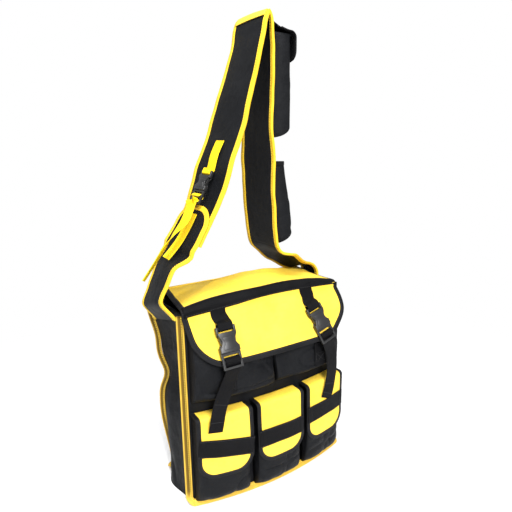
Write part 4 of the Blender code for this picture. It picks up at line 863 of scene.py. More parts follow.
def main_place(x, run, lift=0.0):
    """Maps (across, run from the tip, lift) to the flap: a flared front, a quarter round, a crowned top."""
    drop = np.clip(1 - run / FRONT_RUN, 0, 1.2)
    upright = np.clip(run - FRONT_RUN, 0, FOLD_DROP)
    angle = np.clip((run - FRONT_RUN - FOLD_DROP) / FOLD_RADIUS, 0, pi / 2)
    back = np.maximum(run - FRONT_RUN - FOLD_DROP - FOLD_RADIUS * pi / 2, 0)
    share = x / MAIN_HALF
    left, right = np.clip(-share, 0, 1), np.clip(share, 0, 1)
    forward = 1 - np.clip(back / TOP_RUN, 0, 1)
    on_top = np.sin(pi * forward)
    lean = FRONT_LEAN * np.clip(drop * 4, 0, 1)
    spread = FRONT_FLARE + FRONT_SPREAD * (1 - share**2) + RIGHT_FLARE * right**3
    crown = MAIN_CROWN * (1 - share**2)
    crown = crown + CROWN_RIDGE * np.exp(-(((share - RIDGE_SHARE) / RIDGE_REACH_SHARE) ** 2))
    arch = FOLD_ARCH * np.clip(1 - ((share - ARCH_SHARE) / ARCH_REACH_SHARE) ** 2, 0, 1) ** 0.7
    arch = arch * (1 - ARCH_RIGHT_SHARE * right**3)
    arch = arch * np.clip((run - FRONT_RUN + ARCH_START) / ARCH_SPAN, 0, 1) * forward
    sag = (droop(x) + RIGHT_SAG * right**6) * np.sin(pi / 2 * forward) * np.clip(angle * 2, 0, 1)
    spot = stack(x, run, 0.4)
    soft = rumple(spot, *MAIN_RUMPLE) + creases(spot * (0.8, 1.5, 1), *TOP_CREASE) * on_top
    soft = soft * np.clip((TOP_RUN - back) / REAR_CALM, 0, 1)
    rumpled = FRONT_RUMPLE_SHARE + (1 - FRONT_RUMPLE_SHARE) * on_top
    rise = lift + soft + rumple(spot, *FINE_RUMPLE) * rumpled
    full = LOW_RIGHT_SHARE + (1 - LOW_RIGHT_SHARE) * np.sin(pi * np.clip(1.1 * drop + 0.1, 0, 1))
    x = x + RIGHT_OUT * right**4 * full * forward
    x = x - LEFT_OUT * left**3 * forward * (1 - (1 - LOW_LEFT_SHARE) * np.clip(drop * 1.2, 0, 1))
    y = FOLD_Y + FOLD_RADIUS - (FOLD_RADIUS + rise) * np.cos(angle) + back - drop**1.1 * spread
    y = y - rise * (np.cos(lean) - 1)
    z = HINGE_Z - drop * FRONT_FALL + upright + (FOLD_RADIUS + rise) * np.sin(angle)
    z = z + rise * np.sin(lean) + crown * on_top + arch - sag
    return stack(x, y, z)


BEND_ABOVE, BEND_BELOW = 0.006, 0.007
FLAP_BEND_BODIES = ("flap_top_body", "flap_front_body", (0, FOLD_Y, HINGE_Z + BEND_ABOVE),
                    (0, FOLD_Y, HINGE_Z - BEND_BELOW))


def main_flap():
    half, length = MAIN_HALF - EDGING_WIDTH * INSET_SHARE, MAIN_RUN - MAIN_TRIM
    nodes = ("flap_top", "flap_front_edging")
    sheet = bound_flap("main_flap_cloth", main_place, half, length, MAIN_CORNER, FLAP_BEND_BODIES, 110, nodes,
                       MAIN_THICK, EDGING_WIDTH * MAIN_EDGING_SHARE)
    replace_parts(sheet, "flap_front")


BAND_START, BAND_START_RIGHT, BAND_SHOWN, BAND_HIDDEN_RIGHT = 0.0052, 0.0030, 0.0232, 0.0042
BAND_TURN_SHARE = 0.35
BAND_TRIM, BAND_CLEARANCE, BAND_ROW_TRIM = 0.0015, 0.0004, 0.004


def fold_band_run(share, level):
    """Run up the flap at a level of the fold's band, which shows less of its width towards the right."""
    slant = np.tanh(3 * (share + BAND_TURN_SHARE))
    lowest = FRONT_RUN + BAND_START + BAND_START_RIGHT * slant
    return lowest + level * (BAND_SHOWN - BAND_HIDDEN_RIGHT * slant)


def fold_band():
    """The webbing that wraps the fold: it follows the flap a thread's width above it."""
    share, level = np.meshgrid(np.linspace(-1, 1, 121), np.linspace(0, 1, 26), indexing="ij")
    lift = MAIN_THICK / 2 + BAND_CLEARANCE + WEB_THICK * (1 - 0.5 * np.abs(2 * level - 1) ** 8)
    grid = main_place(share * (MAIN_HALF - BAND_TRIM), fold_band_run(share, level), lift)
    band = cloth("fold_webbing", grid, WEB_BLACK, "flap_top_body", WEB_THICK)
    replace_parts(band, "fold_band")
    x = np.linspace(-MAIN_HALF + BAND_ROW_TRIM, MAIN_HALF - BAND_ROW_TRIM, 90)
    for label, at in (("upper", 0.90), ("lower", 0.10)):
        run = fold_band_run(x / MAIN_HALF, at)
        line = main_place(x, run, lift.max())
        out = main_place(x, run, lift.max() + PROBE) - line
        stitches(f"fold_{label}_stitches", line, out, THREAD_BLACK, "flap_top_body")


def smooth_path(points, steps):
    """A Catmull-Rom curve through the points, with the given steps to each stretch."""
    p = np.asarray(points, float)
    p = np.vstack([2 * p[0] - p[1], p, 2 * p[-1] - p[-2]])
    a, b, c, d = (p[k:len(p) - 3 + k, None] for k in range(4))
    t = (np.arange(steps) / steps)[None, :, None]
    curve = (2 * b + (c - a) * t + (2 * a - 5 * b + 4 * c - d) * t**2 + (3 * b - a - 3 * c + d) * t**3) / 2
    return np.vstack([curve.reshape(-1, p.shape[1]), p[-2]])


HEM_LIFT, HEM_THICK, HEM_FALL, HEM_TURN, HEM_TRIM = 0.0010, 0.0012, 0.0190, 0.0035, 0.001
HEM_BACKS = (0.0005, 0.0035, 0.0065, 0.0095)
REAR_BEND_BODIES = ("bag", "flap_top_body", (0, 0.0640, 0.3900), (0, 0.0560, 0.3985))


def rear_hem():
    """Yellow cloth over the flap's rear seam: up the back panel, round its top edge and on to the flap."""
    x = np.linspace(-MAIN_HALF + HEM_TRIM, MAIN_HALF - HEM_TRIM, 81)
    heights = np.linspace(BACK_TOP - HEM_FALL, BACK_TOP - HEM_TURN, 6)
    up = [stack(x, back_y(x, z) + HEM_LIFT, z) for z in heights]
    over = [main_place(x, MAIN_RUN - back, MAIN_THICK / 2 + HEM_LIFT) for back in HEM_BACKS]
    rows = np.stack(up + over).reshape(len(up) + len(over), -1)
    grid = smooth_path(rows, 3).reshape(-1, len(x), 3)
    cloth("main_flap_rear_hem", grid, YELLOW, REAR_BEND_BODIES, HEM_THICK, 0.0)


main_flap()
fold_band()
rear_hem()

# Shoulder strap: padded black cloth 112 mm wide, with yellow binding down both edges. A long half goes up
# from the right end, over the top and down; a short half laps over it at the left. Of its feet, the left one
# bows out and is sewn aslant, and the right one is gathered to half its width.
STRAP_HALF, STRAP_THICK, STRAP_RISE, STRAP_TWIST = 0.056, 0.0030, 0.512, radians(9.0)
STRAP_BASE = BAG_HEIGHT + STRAP_THICK / 2 + SEAM_GAP
STRAP_EDGE, STRAP_EDGE_THICK, SHORT_EDGE_THICK, SHORT_ROW_LIFT = 0.0105, 0.0050, 0.0040, 0.0019
UNTWIST_LEVEL, UNTWIST_SPAN, UNTWIST_SHARE = 0.486, 0.040, 1.05
FOOT_SLANT, FOOT_START, SLANT_RUN, SLANT_SPAN = 0.28, 0.0150, 0.170, 0.060
CUT_Z, LAP_Z, SHORT_END_Z, PATCH_Z = 0.4768, 0.5003, 0.5607, 0.8920
SHORT_CORNER, SHORT_TRIM, LAP_RISE, LAP_START, LAP_SPAN = 0.036, 0.004, 0.0056, 0.006, 0.014
STRAP_SHARES = np.array([
    (-1.030, -0.092), (-1.047, -0.078), (-1.090, -0.053), (-1.149, -0.027), (-1.191, -0.007), (-1.200, 0.008),
    (-1.180, 0.028), (-1.140, 0.055), (-1.082, 0.098), (-1.020, 0.130), (-0.925, 0.163), (-0.815, 0.205),
    (-0.655, 0.293), (-0.525, 0.386), (-0.410, 0.490), (-0.286, 0.590), (-0.190, 0.686), (-0.080, 0.804),
    (0.012, 0.912), (0.048, 0.966), (0.103, 0.998), (0.160, 0.966), (0.150, 0.882), (0.137, 0.694),
    (0.133, 0.578), (0.143, 0.382), (0.160, 0.267), (0.178, 0.206), (0.203, 0.165), (0.260, 0.141),
    (0.370, 0.128), (0.480, 0.118), (0.580, 0.098), (0.665, 0.080), (0.770, 0.064), (0.880, 0.052),
    (0.965, 0.036), (1.018, 0.008), (1.022, -0.026), (1.013, -0.060)])


def strap_line():
    """The strap's centre line in the plane y 0, from shares of the bag's half width and the strap's rise."""
    x, z = STRAP_SHARES.T
    return smooth_path(stack(x * HALF_WIDTH, 0, STRAP_BASE + z * STRAP_RISE), 14)


STRAP_LINE = strap_line()
STRAP_RUN = run_along(STRAP_LINE)


def strap_sides():
    """Across and outward directions along the strap: twisted at the left, its left foot aslant."""
    twist = STRAP_TWIST * np.clip(-STRAP_LINE[:, 0] / (HALF_WIDTH * 0.25), 0, 1)
    twist = twist * (1.0 - UNTWIST_SHARE * eased((UNTWIST_LEVEL - STRAP_LINE[:, 2]) / UNTWIST_SPAN))
    _, across, inward = directions(STRAP_LINE, stack(np.sin(twist), -np.cos(twist), 0))
    return across + stack(0, 0, FOOT_SLANT * eased((SLANT_RUN - STRAP_RUN) / SLANT_SPAN)), -inward


STRAP_ACROSS, STRAP_OUT = strap_sides()
APEX_RUN = STRAP_RUN[int(np.argmax(STRAP_LINE[:, 2]))]


def strap_side(right):
    """Heights in rising order up the strap's left or right side, and the run along the strap at each."""
    half = STRAP_RUN >= APEX_RUN if right else STRAP_RUN <= APEX_RUN
    order = np.argsort(STRAP_LINE[half, 2])
    return STRAP_LINE[half, 2][order], STRAP_RUN[half][order]


def run_at(z, right=False):
    """Run along the strap where it passes a height, on its left or right side."""
    return float(np.interp(z, *strap_side(right)))


GATHER_START, GATHER_END, GATHER = run_at(0.466, True), run_at(0.402, True), 0.52
RIGHT_HANG, HANG_RISE, HANG_END, HANG_FALL = 0.022, 0.045, 0.152, 0.050
STRAP_RUMPLE, EDGE_RUMPLE, EDGE_CURL = (0.0016, 0.060, 5), (0.0010, 0.024, 6), 0.0020
EDGE_WAVE, EDGE_SWAY = (0.0034, 0.065, 7), (0.0022, 0.050, 8)
STRAP_CALM_START, STRAP_CALM = 0.01, 0.05


def strap_place(t, run, lift=0.0):
    """Maps (across, run, lift) to the strap: rippled a little, its right foot gathered and hanging."""
    gathered = run - GATHER_START
    hang = RIGHT_HANG * eased(gathered / HANG_RISE) * eased((HANG_END - gathered) / HANG_FALL)
    hang = hang * (STRAP_HALF - t) / (2 * STRAP_HALF)
    t = (t + STRAP_HALF) * (1 - GATHER * eased(gathered / (GATHER_END - GATHER_START))) - STRAP_HALF
    centre, across, out = (np.stack([np.interp(run, STRAP_RUN, way[:, k]) for k in range(3)], -1)
                           for way in (STRAP_LINE, STRAP_ACROSS, STRAP_OUT))
    spot = stack(t * 0.7, run, 0)
    ends = np.clip((run - STRAP_CALM_START) / STRAP_CALM, 0, 1)
    ends = ends * np.clip((STRAP_RUN[-1] - STRAP_CALM_START - run) / STRAP_CALM, 0, 1)
    share, along = t / STRAP_HALF, stack(0, run, 0.5)
    soft = rumple(spot, *STRAP_RUMPLE) + (rumple(spot, *EDGE_RUMPLE) - EDGE_CURL) * share**2
    soft = (soft + rumple(along, *EDGE_WAVE) * share) * ends
    sway = t + rumple(along, *EDGE_SWAY) * share * ends
    place = centre + across * np.expand_dims(sway, -1) + out * np.expand_dims(lift + soft, -1)
    return place - stack(0, 0, hang)


def strap_strip(name, low, high, start, end, thick, material, body, lift=0.0, steps=260):
    """A stretch of the strap's cloth between two runs."""
    t, run = np.meshgrid(np.linspace(low, high, 33), np.linspace(start, end, steps), indexing="ij")
    return cloth(name, strap_place(t, run, lift), material, body, thick, 0.0)


def strap_edge(name, way, start, end, body, steps):
    """Binding along one edge of the strap, with a row of thread on each face."""
    run = np.linspace(start, end, steps)
    t = way * (STRAP_HALF - STRAP_EDGE / 2) + 0 * run
    line = strap_place(t, run)
    _, across, out = directions(line, strap_place(t + PROBE, run) - line)
    edge = tape(name, line, across, out, STRAP_EDGE, STRAP_EDGE_THICK, TAPE_YELLOW, body)
    seam_rows(name, line, across, out, way * STRAP_EDGE * EDGE_ROW_SHARE, STRAP_EDGE_THICK * EDGE_FACE_SHARE,
              THREAD_YELLOW, body)
    return edge


def over_lap(run):
    """The short half rises over the long half's end."""
    return LAP_RISE * eased((run - run_at(CUT_Z) - LAP_START) / LAP_SPAN)


INNER_HALF = STRAP_HALF - STRAP_EDGE / 2
LOW_BEND_SPAN = 0.075
LOW_BEND = ("flap_top_body", "strap_body", (0, 0, CUT_Z), (0, 0, CUT_Z + LOW_BEND_SPAN))
FOOT_BENDS = {"left": ("bag", "flap_top_body", (0, 0, 0.391), (0, 0, 0.460)),
              "right": ("bag", "flap_top_body", (0.184, 0, 0.385), (0.158, 0, 0.408))}


def long_half():
    start, end = run_at(LAP_Z), run_at(CUT_Z, True)
    web = strap_strip("strap_long_cloth", -INNER_HALF, INNER_HALF, start, end, STRAP_THICK, BLACK, LOW_BEND)
    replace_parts(web, "strap_long_half")
    for label, way in (("front", 1), ("back", -1)):
        edge = strap_edge(f"strap_{label}_edge", way, start, end, LOW_BEND, 320)
        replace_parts(edge, f"strap_{label}_binding")


def strap_feet():
    ends = (("left", FOOT_START, run_at(CUT_Z)), ("right", run_at(CUT_Z, True), STRAP_RUN[-1]))
    for side, start, end in ends:
        foot = strap_strip(f"{side}_foot_cloth", -INNER_HALF, INNER_HALF, start, end, STRAP_THICK, BLACK,
                           FOOT_BENDS[side], steps=90)
        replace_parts(foot, f"{side}_strap_foot")
        for label, way in (("front", 1), ("back", -1)):
            strap_edge(f"{side}_foot_{label}_edge", way, start, end, FOOT_BENDS[side], 90)


def short_half():
    """The short half: its upper end is rounded and bound all the way round."""
    start, end = run_at(CUT_Z), run_at(SHORT_END_Z) - SHORT_TRIM

    def place(t, back, lift=0.0):
        run = end - back
        return strap_place(t, run, lift + over_lap(run))

    backs = rounded_runs(SHORT_CORNER, end - start, 50)
    share, back = np.meshgrid(np.linspace(-1, 1, 33), backs, indexing="ij")
    grid = place(share * rounded_half(back, INNER_HALF, SHORT_CORNER), back)
    web = cloth("strap_short_cloth", grid, BLACK, LOW_BEND, STRAP_THICK, 0.0)
    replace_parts(web, "strap_short_half")
    path = corner_path(INNER_HALF, 0.0, end - start, SHORT_CORNER, 40, 14, 14)
    line, across, out = edge_frames(place, path, 0.0)
    edge = tape("short_half_edge", line, across, out, STRAP_EDGE, SHORT_EDGE_THICK, TAPE_YELLOW, LOW_BEND)
    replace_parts(edge, "short_half_binding")
    seam_rows("short_half", line, across, out, STRAP_EDGE * EDGE_ROW_SHARE, SHORT_ROW_LIFT, THREAD_YELLOW,
              LOW_BEND)


PATCH_INSET, PATCH_PAST_APEX, PATCH_THICK, PATCH_LIFT = 0.009, 0.006, 0.0012, 0.0016


def top_patch():
    half = STRAP_HALF - PATCH_INSET
    patch = strap_strip("strap_top_patch", -half, half, run_at(PATCH_Z), APEX_RUN + PATCH_PAST_APEX,
                        PATCH_THICK, YELLOW, "strap_body", STRAP_THICK / 2 + PATCH_LIFT, 24)
    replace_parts(patch, "shoulder_patch")


long_half()
strap_feet()
short_half()
top_patch()

# Webbing: the flap's two straps, their hanging tails and anchors, and the strap's yellow adjuster.
# Each runs round the bar or the rungs of its buckle; sewn ends carry a boxed cross of thread.
FLAP_BUCKLE = {"web": 0.030, "sleeve": 0.036, "slot": 0.0062, "bar": 0.0048, "base": 0.005, "gap": 0.0082,
               "rung": 0.0040, "deep": 0.0105, "bar_deep": 0.0046, "wall": 0.0024, "frame": 0.0045,
               "room": 0.0}
STRAP_BUCKLE = {"web": 0.025, "sleeve": 0.029, "slot": 0.0060, "bar": 0.0042, "base": 0.004, "gap": 0.0078,
                "rung": 0.0036, "deep": 0.0095, "bar_deep": 0.0044, "wall": 0.0022, "frame": 0.0040,
                "room": -0.0001}
ARM_PLAY, WEB_ROUND, RIPPLE_SIZE = 0.0004, 0.14, 0.045
SEAT_X, SEAT_Y, SEAT_Z, FLAP_TILT = 0.107, -0.104093, 0.311, radians(24.4385)
SEATS = {"left": Vector((-SEAT_X, SEAT_Y, SEAT_Z)), "right": Vector((SEAT_X, SEAT_Y, SEAT_Z))}
LEANS = {"left": 0.0, "right": -radians(15.0)}
TUCK_RUNS, TUCK_REACH, TUCK_TRIM = (0.015, 0.009, 0.003, -0.006), 0.012, 0.002
CROSS_STITCH, ANCHOR_CROSS = {"length": 0.0024, "pitch": 0.0034, "bulk": 0.0004}, (0.024, 0.022)


def flap_axes(side):
    """The frame of a flap buckle, which lies along the flap's front; the right one leans."""
    turned = Matrix.Rotation(-FLAP_TILT, 4, "X") @ Matrix.Rotation(LEANS[side], 4, "Y")
    return Matrix.Translation(SEATS[side]) @ turned


def bar_loop(size, starts):
    """Centre line of webbing that comes down to a buckle, round its bar and back up behind."""
    near = size["bar_deep"] / 2 + WEB_THICK
    low = size["sleeve"] + size["slot"]
    loop = [(0, -near * cos(a), low - size["slot"] / 2 * sin(a)) for a in np.linspace(0, pi, 5)]
    return starts + [(0, -near, low + 2 * size["bar"])] + loop + [(0, near, low + 2 * size["bar"])]


def ladder_wrap(size):
    """Centre line of webbing threaded over a ladder's middle rung and out behind its end rung."""
    near = size["deep"] / 2 - size["wall"] - ARM_PLAY + 2 * WEB_THICK + SEAM_GAP
    first = -size["base"] - size["gap"] / 2
    second = first - size["gap"] - size["rung"]
    middle = (first + second) / 2
    end = second - size["gap"] / 2 - size["rung"] / 2
    return [(0, near, middle), (0, 0, first), (0, -near, middle), (0, 0, second), (0, near, end),
            (0, near, end - size["rung"])]


def in_world(axes, points):
    return [np.array(axes @ Vector(p)) for p in points]


def webbing(name, node, points, side, width, material, body, ripple=0.0):
    """Webbing along a smooth line through points, lying across one direction or one for each point."""
    path = smooth_path(points, 10)
    sides = np.broadcast_to(np.asarray(side, float), (len(points), 3))
    _, across, out = directions(path, smooth_path(sides, 10))
    path = path + out * rumple(path, ripple, RIPPLE_SIZE, 3)[:, None]
    strip = tape(name, path, across, out, width, WEB_THICK, material, body, WEB_ROUND)
    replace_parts(strip, node)
    return strip, path, across, out


def boxed_cross(name, centre, across, along, size, material, body):
    """A sewn box with a cross in it, flat on webbing."""
    centre, across, along = (np.asarray(v, float) for v in (centre, across, along))
    u, v = across * size[0] / 2, along * size[1] / 2
    corners = [centre - u - v, centre + u - v, centre + u + v, centre - u + v]
    line = corners + [corners[0], corners[2], corners[3], corners[1]]
    fine = np.vstack([np.linspace(a, b, 8)[:-1] for a, b in zip(line[:-1], line[1:])] + [line[-1]])
    out = np.tile(np.cross(across, along), (len(fine), 1))
    stitches(name, fine, out, material, body, **CROSS_STITCH)


def flap_strap(side):
    """Webbing from under the fold's band down the flap, round its buckle's bar and back up."""
    size, seat, lean, axes = FLAP_BUCKLE, SEATS[side], LEANS[side], flap_axes(side)
    rise = (HINGE_Z - seat.z) / cos(FLAP_TILT) / cos(lean)
    lie = SEAM_GAP + (size["deep"] - MAIN_THICK) / 2
    high = size["sleeve"] + 2 * size["slot"] + size["bar"]

    def on_flap(at, beside):
        x = np.array(seat.x + sin(lean) * (rise + at) + beside)
        return main_place(x, np.array(FRONT_RUN + at), (MAIN_THICK + WEB_THICK) / 2 + 2 * SEAM_GAP)

    tucked = [on_flap(at, 0) for at in TUCK_RUNS]
    loop = in_world(axes, bar_loop(size, [(0, lie - WEB_THICK, (rise + high) / 2 - TUCK_TRIM)]))
    sides = [(on_flap(at, TUCK_REACH) - on_flap(at, -TUCK_REACH)) / (2 * TUCK_REACH) for at in TUCK_RUNS]
    sides += [np.array(axes.col[0][:3])] * len(loop)
    webbing(f"{side}_strap_webbing", f"{side}_flap_strap", tucked + loop, sides, size["web"], WEB_BLACK,
            FLAP_BEND_BODIES)


TAIL_LIFT, TAIL_TOP, TAIL_KEEP, TAIL_RIPPLE = 0.0060, 0.3020, 0.56, 0.0012
TAIL_HEIGHT, TAIL_SHARES = 0.308, {"left": [(-1.06, 0.82), (-1.22, 0.68), (-1.33, 0.530)],
                                   "right": [(1.20, 0.82), (1.235, 0.70), (1.18, 0.58), (1.08, 0.495)]}
TAIL_BOWS, BOW_LEVEL, BOW_SPAN = {"left": 0.0, "right": 0.0040}, 0.190, 0.050
END_ROWS, END_ROW_SHARE, END_STITCH = (("a", 5), ("b", 12)), 0.46, {"length": 0.0018, "pitch": 0.0027}


def tail_points(side):
    """Points of a hanging tail, standing just off the pocket flap below it and bowed forward above that."""
    places = [(x * SEAT_X, z * TAIL_HEIGHT) for x, z in TAIL_SHARES[side]]
    bows = [TAIL_BOWS[side] * eased((z - BOW_LEVEL) / BOW_SPAN) for _, z in places]
    return [np.array([x, float(front_y(x, z) - FLAP_REACH - TAIL_LIFT - bow), z])
            for (x, z), bow in zip(places, bows)]


def crumple(piece):
    """Gives a hanging tail's piece a mesh of its own."""
    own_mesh(piece)


def hanging_tail(side):
    """Webbing through the buckle's ladder that hangs down the front, with two rows across its hemmed end."""
    width, axes, body = FLAP_BUCKLE["web"], flap_axes(side), f"{side}_male_body"
    points = in_world(axes, ladder_wrap(FLAP_BUCKLE)) + tail_points(side)
    strip, path, across, out = webbing(f"{side}_tail_webbing", f"{side}_tail", points, axes.col[0][:3], width,
                                       WEB_BLACK, body, TAIL_RIPPLE)
    crumple(strip)
    for label, back in END_ROWS:
        row = path[-back] + across[-back] * np.linspace(-END_ROW_SHARE, END_ROW_SHARE, 12)[:, None] * width
        for face, way in (("front", 1), ("back", -1)):
            rise = np.tile(out[-back] * way, (len(row), 1))
            sewn = stitches(f"{side}_tail_{label}_{face}_stitches", row + rise * WEB_THICK / 2, rise,
                            THREAD_BLACK, body, **END_STITCH)
            crumple(sewn)


def anchor(side, hand, depth_at):
    """The short webbing sewn up an upper pocket's face, behind the tail."""
    x = hand * SEAT_X
    low = UPPER_SEAM + UPPER_UNDERCUT
    z = np.linspace(low, low + FLAP_BUCKLE["web"] + FLAP_BUCKLE["sleeve"] / 2, 14)
    y = front_y(x, z) - 2 * SEAM_GAP - depth_at(x + 0 * z, z) - WEB_THICK
    path = webbing(f"{side}_anchor_webbing", f"{side}_anchor_web", stack(x + 0 * z, y, z), (1, 0, 0),
                   FLAP_BUCKLE["web"], WEB_BLACK, "bag")[1]
    spot = path[len(path) // 3] + np.array([0, -WEB_THICK * 0.6, 0])
    boxed_cross(f"{side}_anchor_cross", spot, (1, 0, 0), (0, 0, 1), ANCHOR_CROSS, THREAD_BLACK, "bag")


for side, hand, depth_at in (("left", -1, upper_depth), ("right", 1, dented_depth)):
    flap_strap(side)
    hanging_tail(side)
    anchor(side, hand, depth_at)

STRAP_SEAT = Vector((-0.10501, -0.00188, 0.5915))
STRAP_UP, STRAP_SIDE = Vector((0.48638, 0.019, 0.87354)), Vector((-0.13428, 0.98951, 0.05324))
STRAP_TURN = Matrix((STRAP_SIDE, STRAP_UP.cross(STRAP_SIDE), STRAP_UP)).transposed().to_4x4()
STRAP_AXES = Matrix.Translation(STRAP_SEAT) @ STRAP_TURN
UPPER_HEIGHTS, UPPER_CLEARANCE, UPPER_CROSS = (0.679, 0.654), 0.0003, (0.019, 0.018)
LOWER_HEIGHTS, LOWER_CLEARANCE, LOWER_CROSS = (0.466, 0.482, 0.500, 0.522, 0.546), 0.0004, (0.019, 0.016)
TAIL_EDGE_ON, TAIL_TOWARDS_VIEW, ADJUSTER_RIPPLE = np.array((0.516, 0.830, -0.213)), 0.016, 0.0010
ADJUSTER_TAIL_SHARES = ((-0.77, 0.280), (-0.888, 0.240), (-1.002, 0.192), (-1.124, 0.138), (-1.24, 0.087))


def on_strap(height, lift):
    """A point over the strap's middle on its left side."""
    return strap_place(np.array([0.0]), np.array([run_at(height)]), lift)[0]


def adjuster_webbing(part, points, body, sewn, facing, cross):
    """Yellow webbing sewn to the strap: a boxed cross midway between two rows of its path."""
    _, path, across, out = webbing(f"adjuster_{part}_webbing", f"adjuster_{part}_web", points, STRAP_SIDE,
                                   STRAP_BUCKLE["web"], WEB_YELLOW, body)
    spot = (path[sewn[0]] + path[sewn[1]]) / 2 + out[facing] * WEB_THICK * 0.55
    boxed_cross(f"adjuster_{part}_cross", spot, across[facing], np.cross(out[facing], across[facing]), cross,
                THREAD_YELLOW, body)


def strap_adjuster():
    """The upper web holds the sleeve, the lower web is sewn to the short half, and the tail hangs edge-on."""
    face = STRAP_THICK / 2 + SEAM_GAP + WEB_THICK / 2
    upper = [on_strap(height, face + UPPER_CLEARANCE + layer * WEB_THICK)
             for layer, height in enumerate(UPPER_HEIGHTS)]
    upper += in_world(STRAP_AXES, bar_loop(STRAP_BUCKLE, []))
    adjuster_webbing("upper", upper, "strap_body", (2, 8), 4, UPPER_CROSS)
    lower = [on_strap(height, face + LAP_RISE + LOWER_CLEARANCE) for height in LOWER_HEIGHTS]
    adjuster_webbing("lower", lower, LOW_BEND, (5, 5), 5, LOWER_CROSS)
    hang = [np.array([x * HALF_WIDTH, 0.0, STRAP_BASE + STRAP_RISE * z]) - TAIL_TOWARDS_VIEW * TAIL_EDGE_ON
            for x, z in ADJUSTER_TAIL_SHARES]
    wrap = in_world(STRAP_AXES, ladder_wrap(STRAP_BUCKLE))
    turned = np.r_[np.zeros(len(wrap) + 1), 0.5, np.ones(len(hang) - 2)][:, None]
    sides = np.array(STRAP_SIDE) + turned * (TAIL_EDGE_ON - np.array(STRAP_SIDE))
    webbing("adjuster_tail_webbing", "adjuster_tail", wrap + hang, sides, STRAP_BUCKLE["web"], WEB_YELLOW,
            "strap_male_body", ADJUSTER_RIPPLE)


strap_adjuster()

# Pouches on the strap: a flapped one near the top and an open one below it, on the right-hand outer face.
# Both are boxy bellows of black cloth; the upper one has a bound flap over its mouth.
POUCH_WIDTH, POUCH_THICK, POUCH_SQUARENESS, POUCH_UNDERCUT = 0.088, 0.0014, 0.10, 0.020
POUCH_RUMPLE, POUCH_CREASE = (0.0012, 0.028), (0.0018, 0.050)
MOUTH_TAPE_WIDTH, MOUTH_TAPE_THICK, MOUTH_TAPE_DROP, MOUTH_TAPE_LIFT = 0.0085, 0.0028, 0.0035, 0.0004
LID_LEVEL, LID_ROOT, LID_OUT, LID_LOW, LID_BEND = 0.8724, 0.0312, 0.0808, 0.8265, 0.010
LID_SLOPE, LID_CORNER, LID_RUMPLE, LID_CALM = 0.013, 0.014, (0.0010, 0.024, 4), 0.02
LID_TAPE_WIDTH, LID_TAPE_THICK, LID_TAPE_START = 0.008, 0.0026, 6
LID_BEND_BODIES = ("strap_body", "pouch_flap_body", (0.0305, 0, 0.886), (0.0480, 0, 0.874))


def strap_x(z):
    """Where the strap's outer right face stands at a height."""
    run = np.interp(z, *strap_side(True))
    return strap_place(0 * run, run)[..., 0]


def pouch(name, node, foot, mouth, depth, mouth_depth, shift):
    """A bellows pouch on the strap's outer face: a squared-off wall that closes a little above its middle."""
    a, b = np.meshgrid(np.sin(np.linspace(-1, 1, 61) * pi / 2), np.linspace(0, 1, 61) ** 1.4, indexing="ij")
    z = foot + b * (mouth - foot)
    out = np.clip(1 - np.abs(a) ** (1 / POUCH_SQUARENESS), 0, 1) ** POUCH_SQUARENESS
    middle = (foot + mouth) / 2
    closing = (depth - mouth_depth) * np.clip((z - middle) / (mouth - middle), 0, 1)
    deep = undercut(z - foot, depth, POUCH_UNDERCUT) - closing
    spot = stack(0, a * 0.05, z)
    soft = rumple(spot, *POUCH_RUMPLE, shift) - creases(spot, *POUCH_CREASE, shift + 1)
    deep = np.maximum(deep + soft * np.clip(deep / FULL_DEPTH, 0, 1), LEAST_DEPTH)
    grid = stack(strap_x(z) + STRAP_THICK / 2 + SEAM_GAP + deep * out, a * POUCH_WIDTH / 2, z)
    body = cloth(name, grid, BLACK, "strap_body", POUCH_THICK)
    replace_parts(body, node)
    return grid


def pouch_trim(name, grid):
    """Black tape along a pouch's mouth."""
    line = grid[:, -1] - np.array([0, 0, MOUTH_TAPE_DROP])
    _, across, out = directions(line, np.tile((0.0, 0.0, 1.0), (len(line), 1)))
    trim = tape(name, line + out * MOUTH_TAPE_LIFT, across, out, MOUTH_TAPE_WIDTH, MOUTH_TAPE_THICK,
                TAPE_BLACK, "strap_body")


def pouch_flap():
    """The upper pouch's flap: out from its seam, a quarter round and down, with rounded corners."""
    turn = np.linspace(0, pi / 2, 12)
    slope = LID_SLOPE * np.linspace(1, 0, 14)[:-1] ** 1.6
    x = np.r_[np.linspace(LID_ROOT, LID_OUT - LID_BEND, 14)[:-1], LID_OUT - LID_BEND * (1 - np.sin(turn)),
              np.full(16, LID_OUT)]
    z = np.r_[LID_LEVEL + slope, LID_LEVEL - LID_BEND * (1 - np.cos(turn)),
              np.linspace(LID_LEVEL - LID_BEND, LID_LOW, 17)[1:]]
    run = np.r_[0, np.cumsum(np.hypot(np.diff(x), np.diff(z)))]
    a, k = np.meshgrid(np.linspace(-1, 1, 31), np.arange(len(x)), indexing="ij")
    narrow = rounded_half(run[-1] - run, POUCH_WIDTH / 2, LID_CORNER)
    soft = rumple(stack(a * 0.04, run[k], 0.7), *LID_RUMPLE) * np.clip(run[k] / LID_CALM, 0, 1)
    hanging = z[k] < LID_LEVEL - LID_BEND / 2
    grid = stack(x[k] + soft * hanging, a * narrow[k], z[k] + soft * ~hanging)
    flap = cloth("upper_pouch_flap_cloth", grid, BLACK, LID_BEND_BODIES, POUCH_THICK, 0.0)
    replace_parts(flap, "upper_pouch_flap")
    first = LID_TAPE_START
    edge = np.vstack([grid[0, first:], grid[1:-1, -1], grid[-1, :first - 1:-1]])
    inner = np.vstack([grid[1, first:], grid[1:-1, -2], grid[-2, :first - 1:-1]])
    _, across, face = directions(edge, edge - inner)
    bound = tape("upper_pouch_flap_edge", edge, across, face, LID_TAPE_WIDTH, LID_TAPE_THICK, TAPE_BLACK,
                 LID_BEND_BODIES)


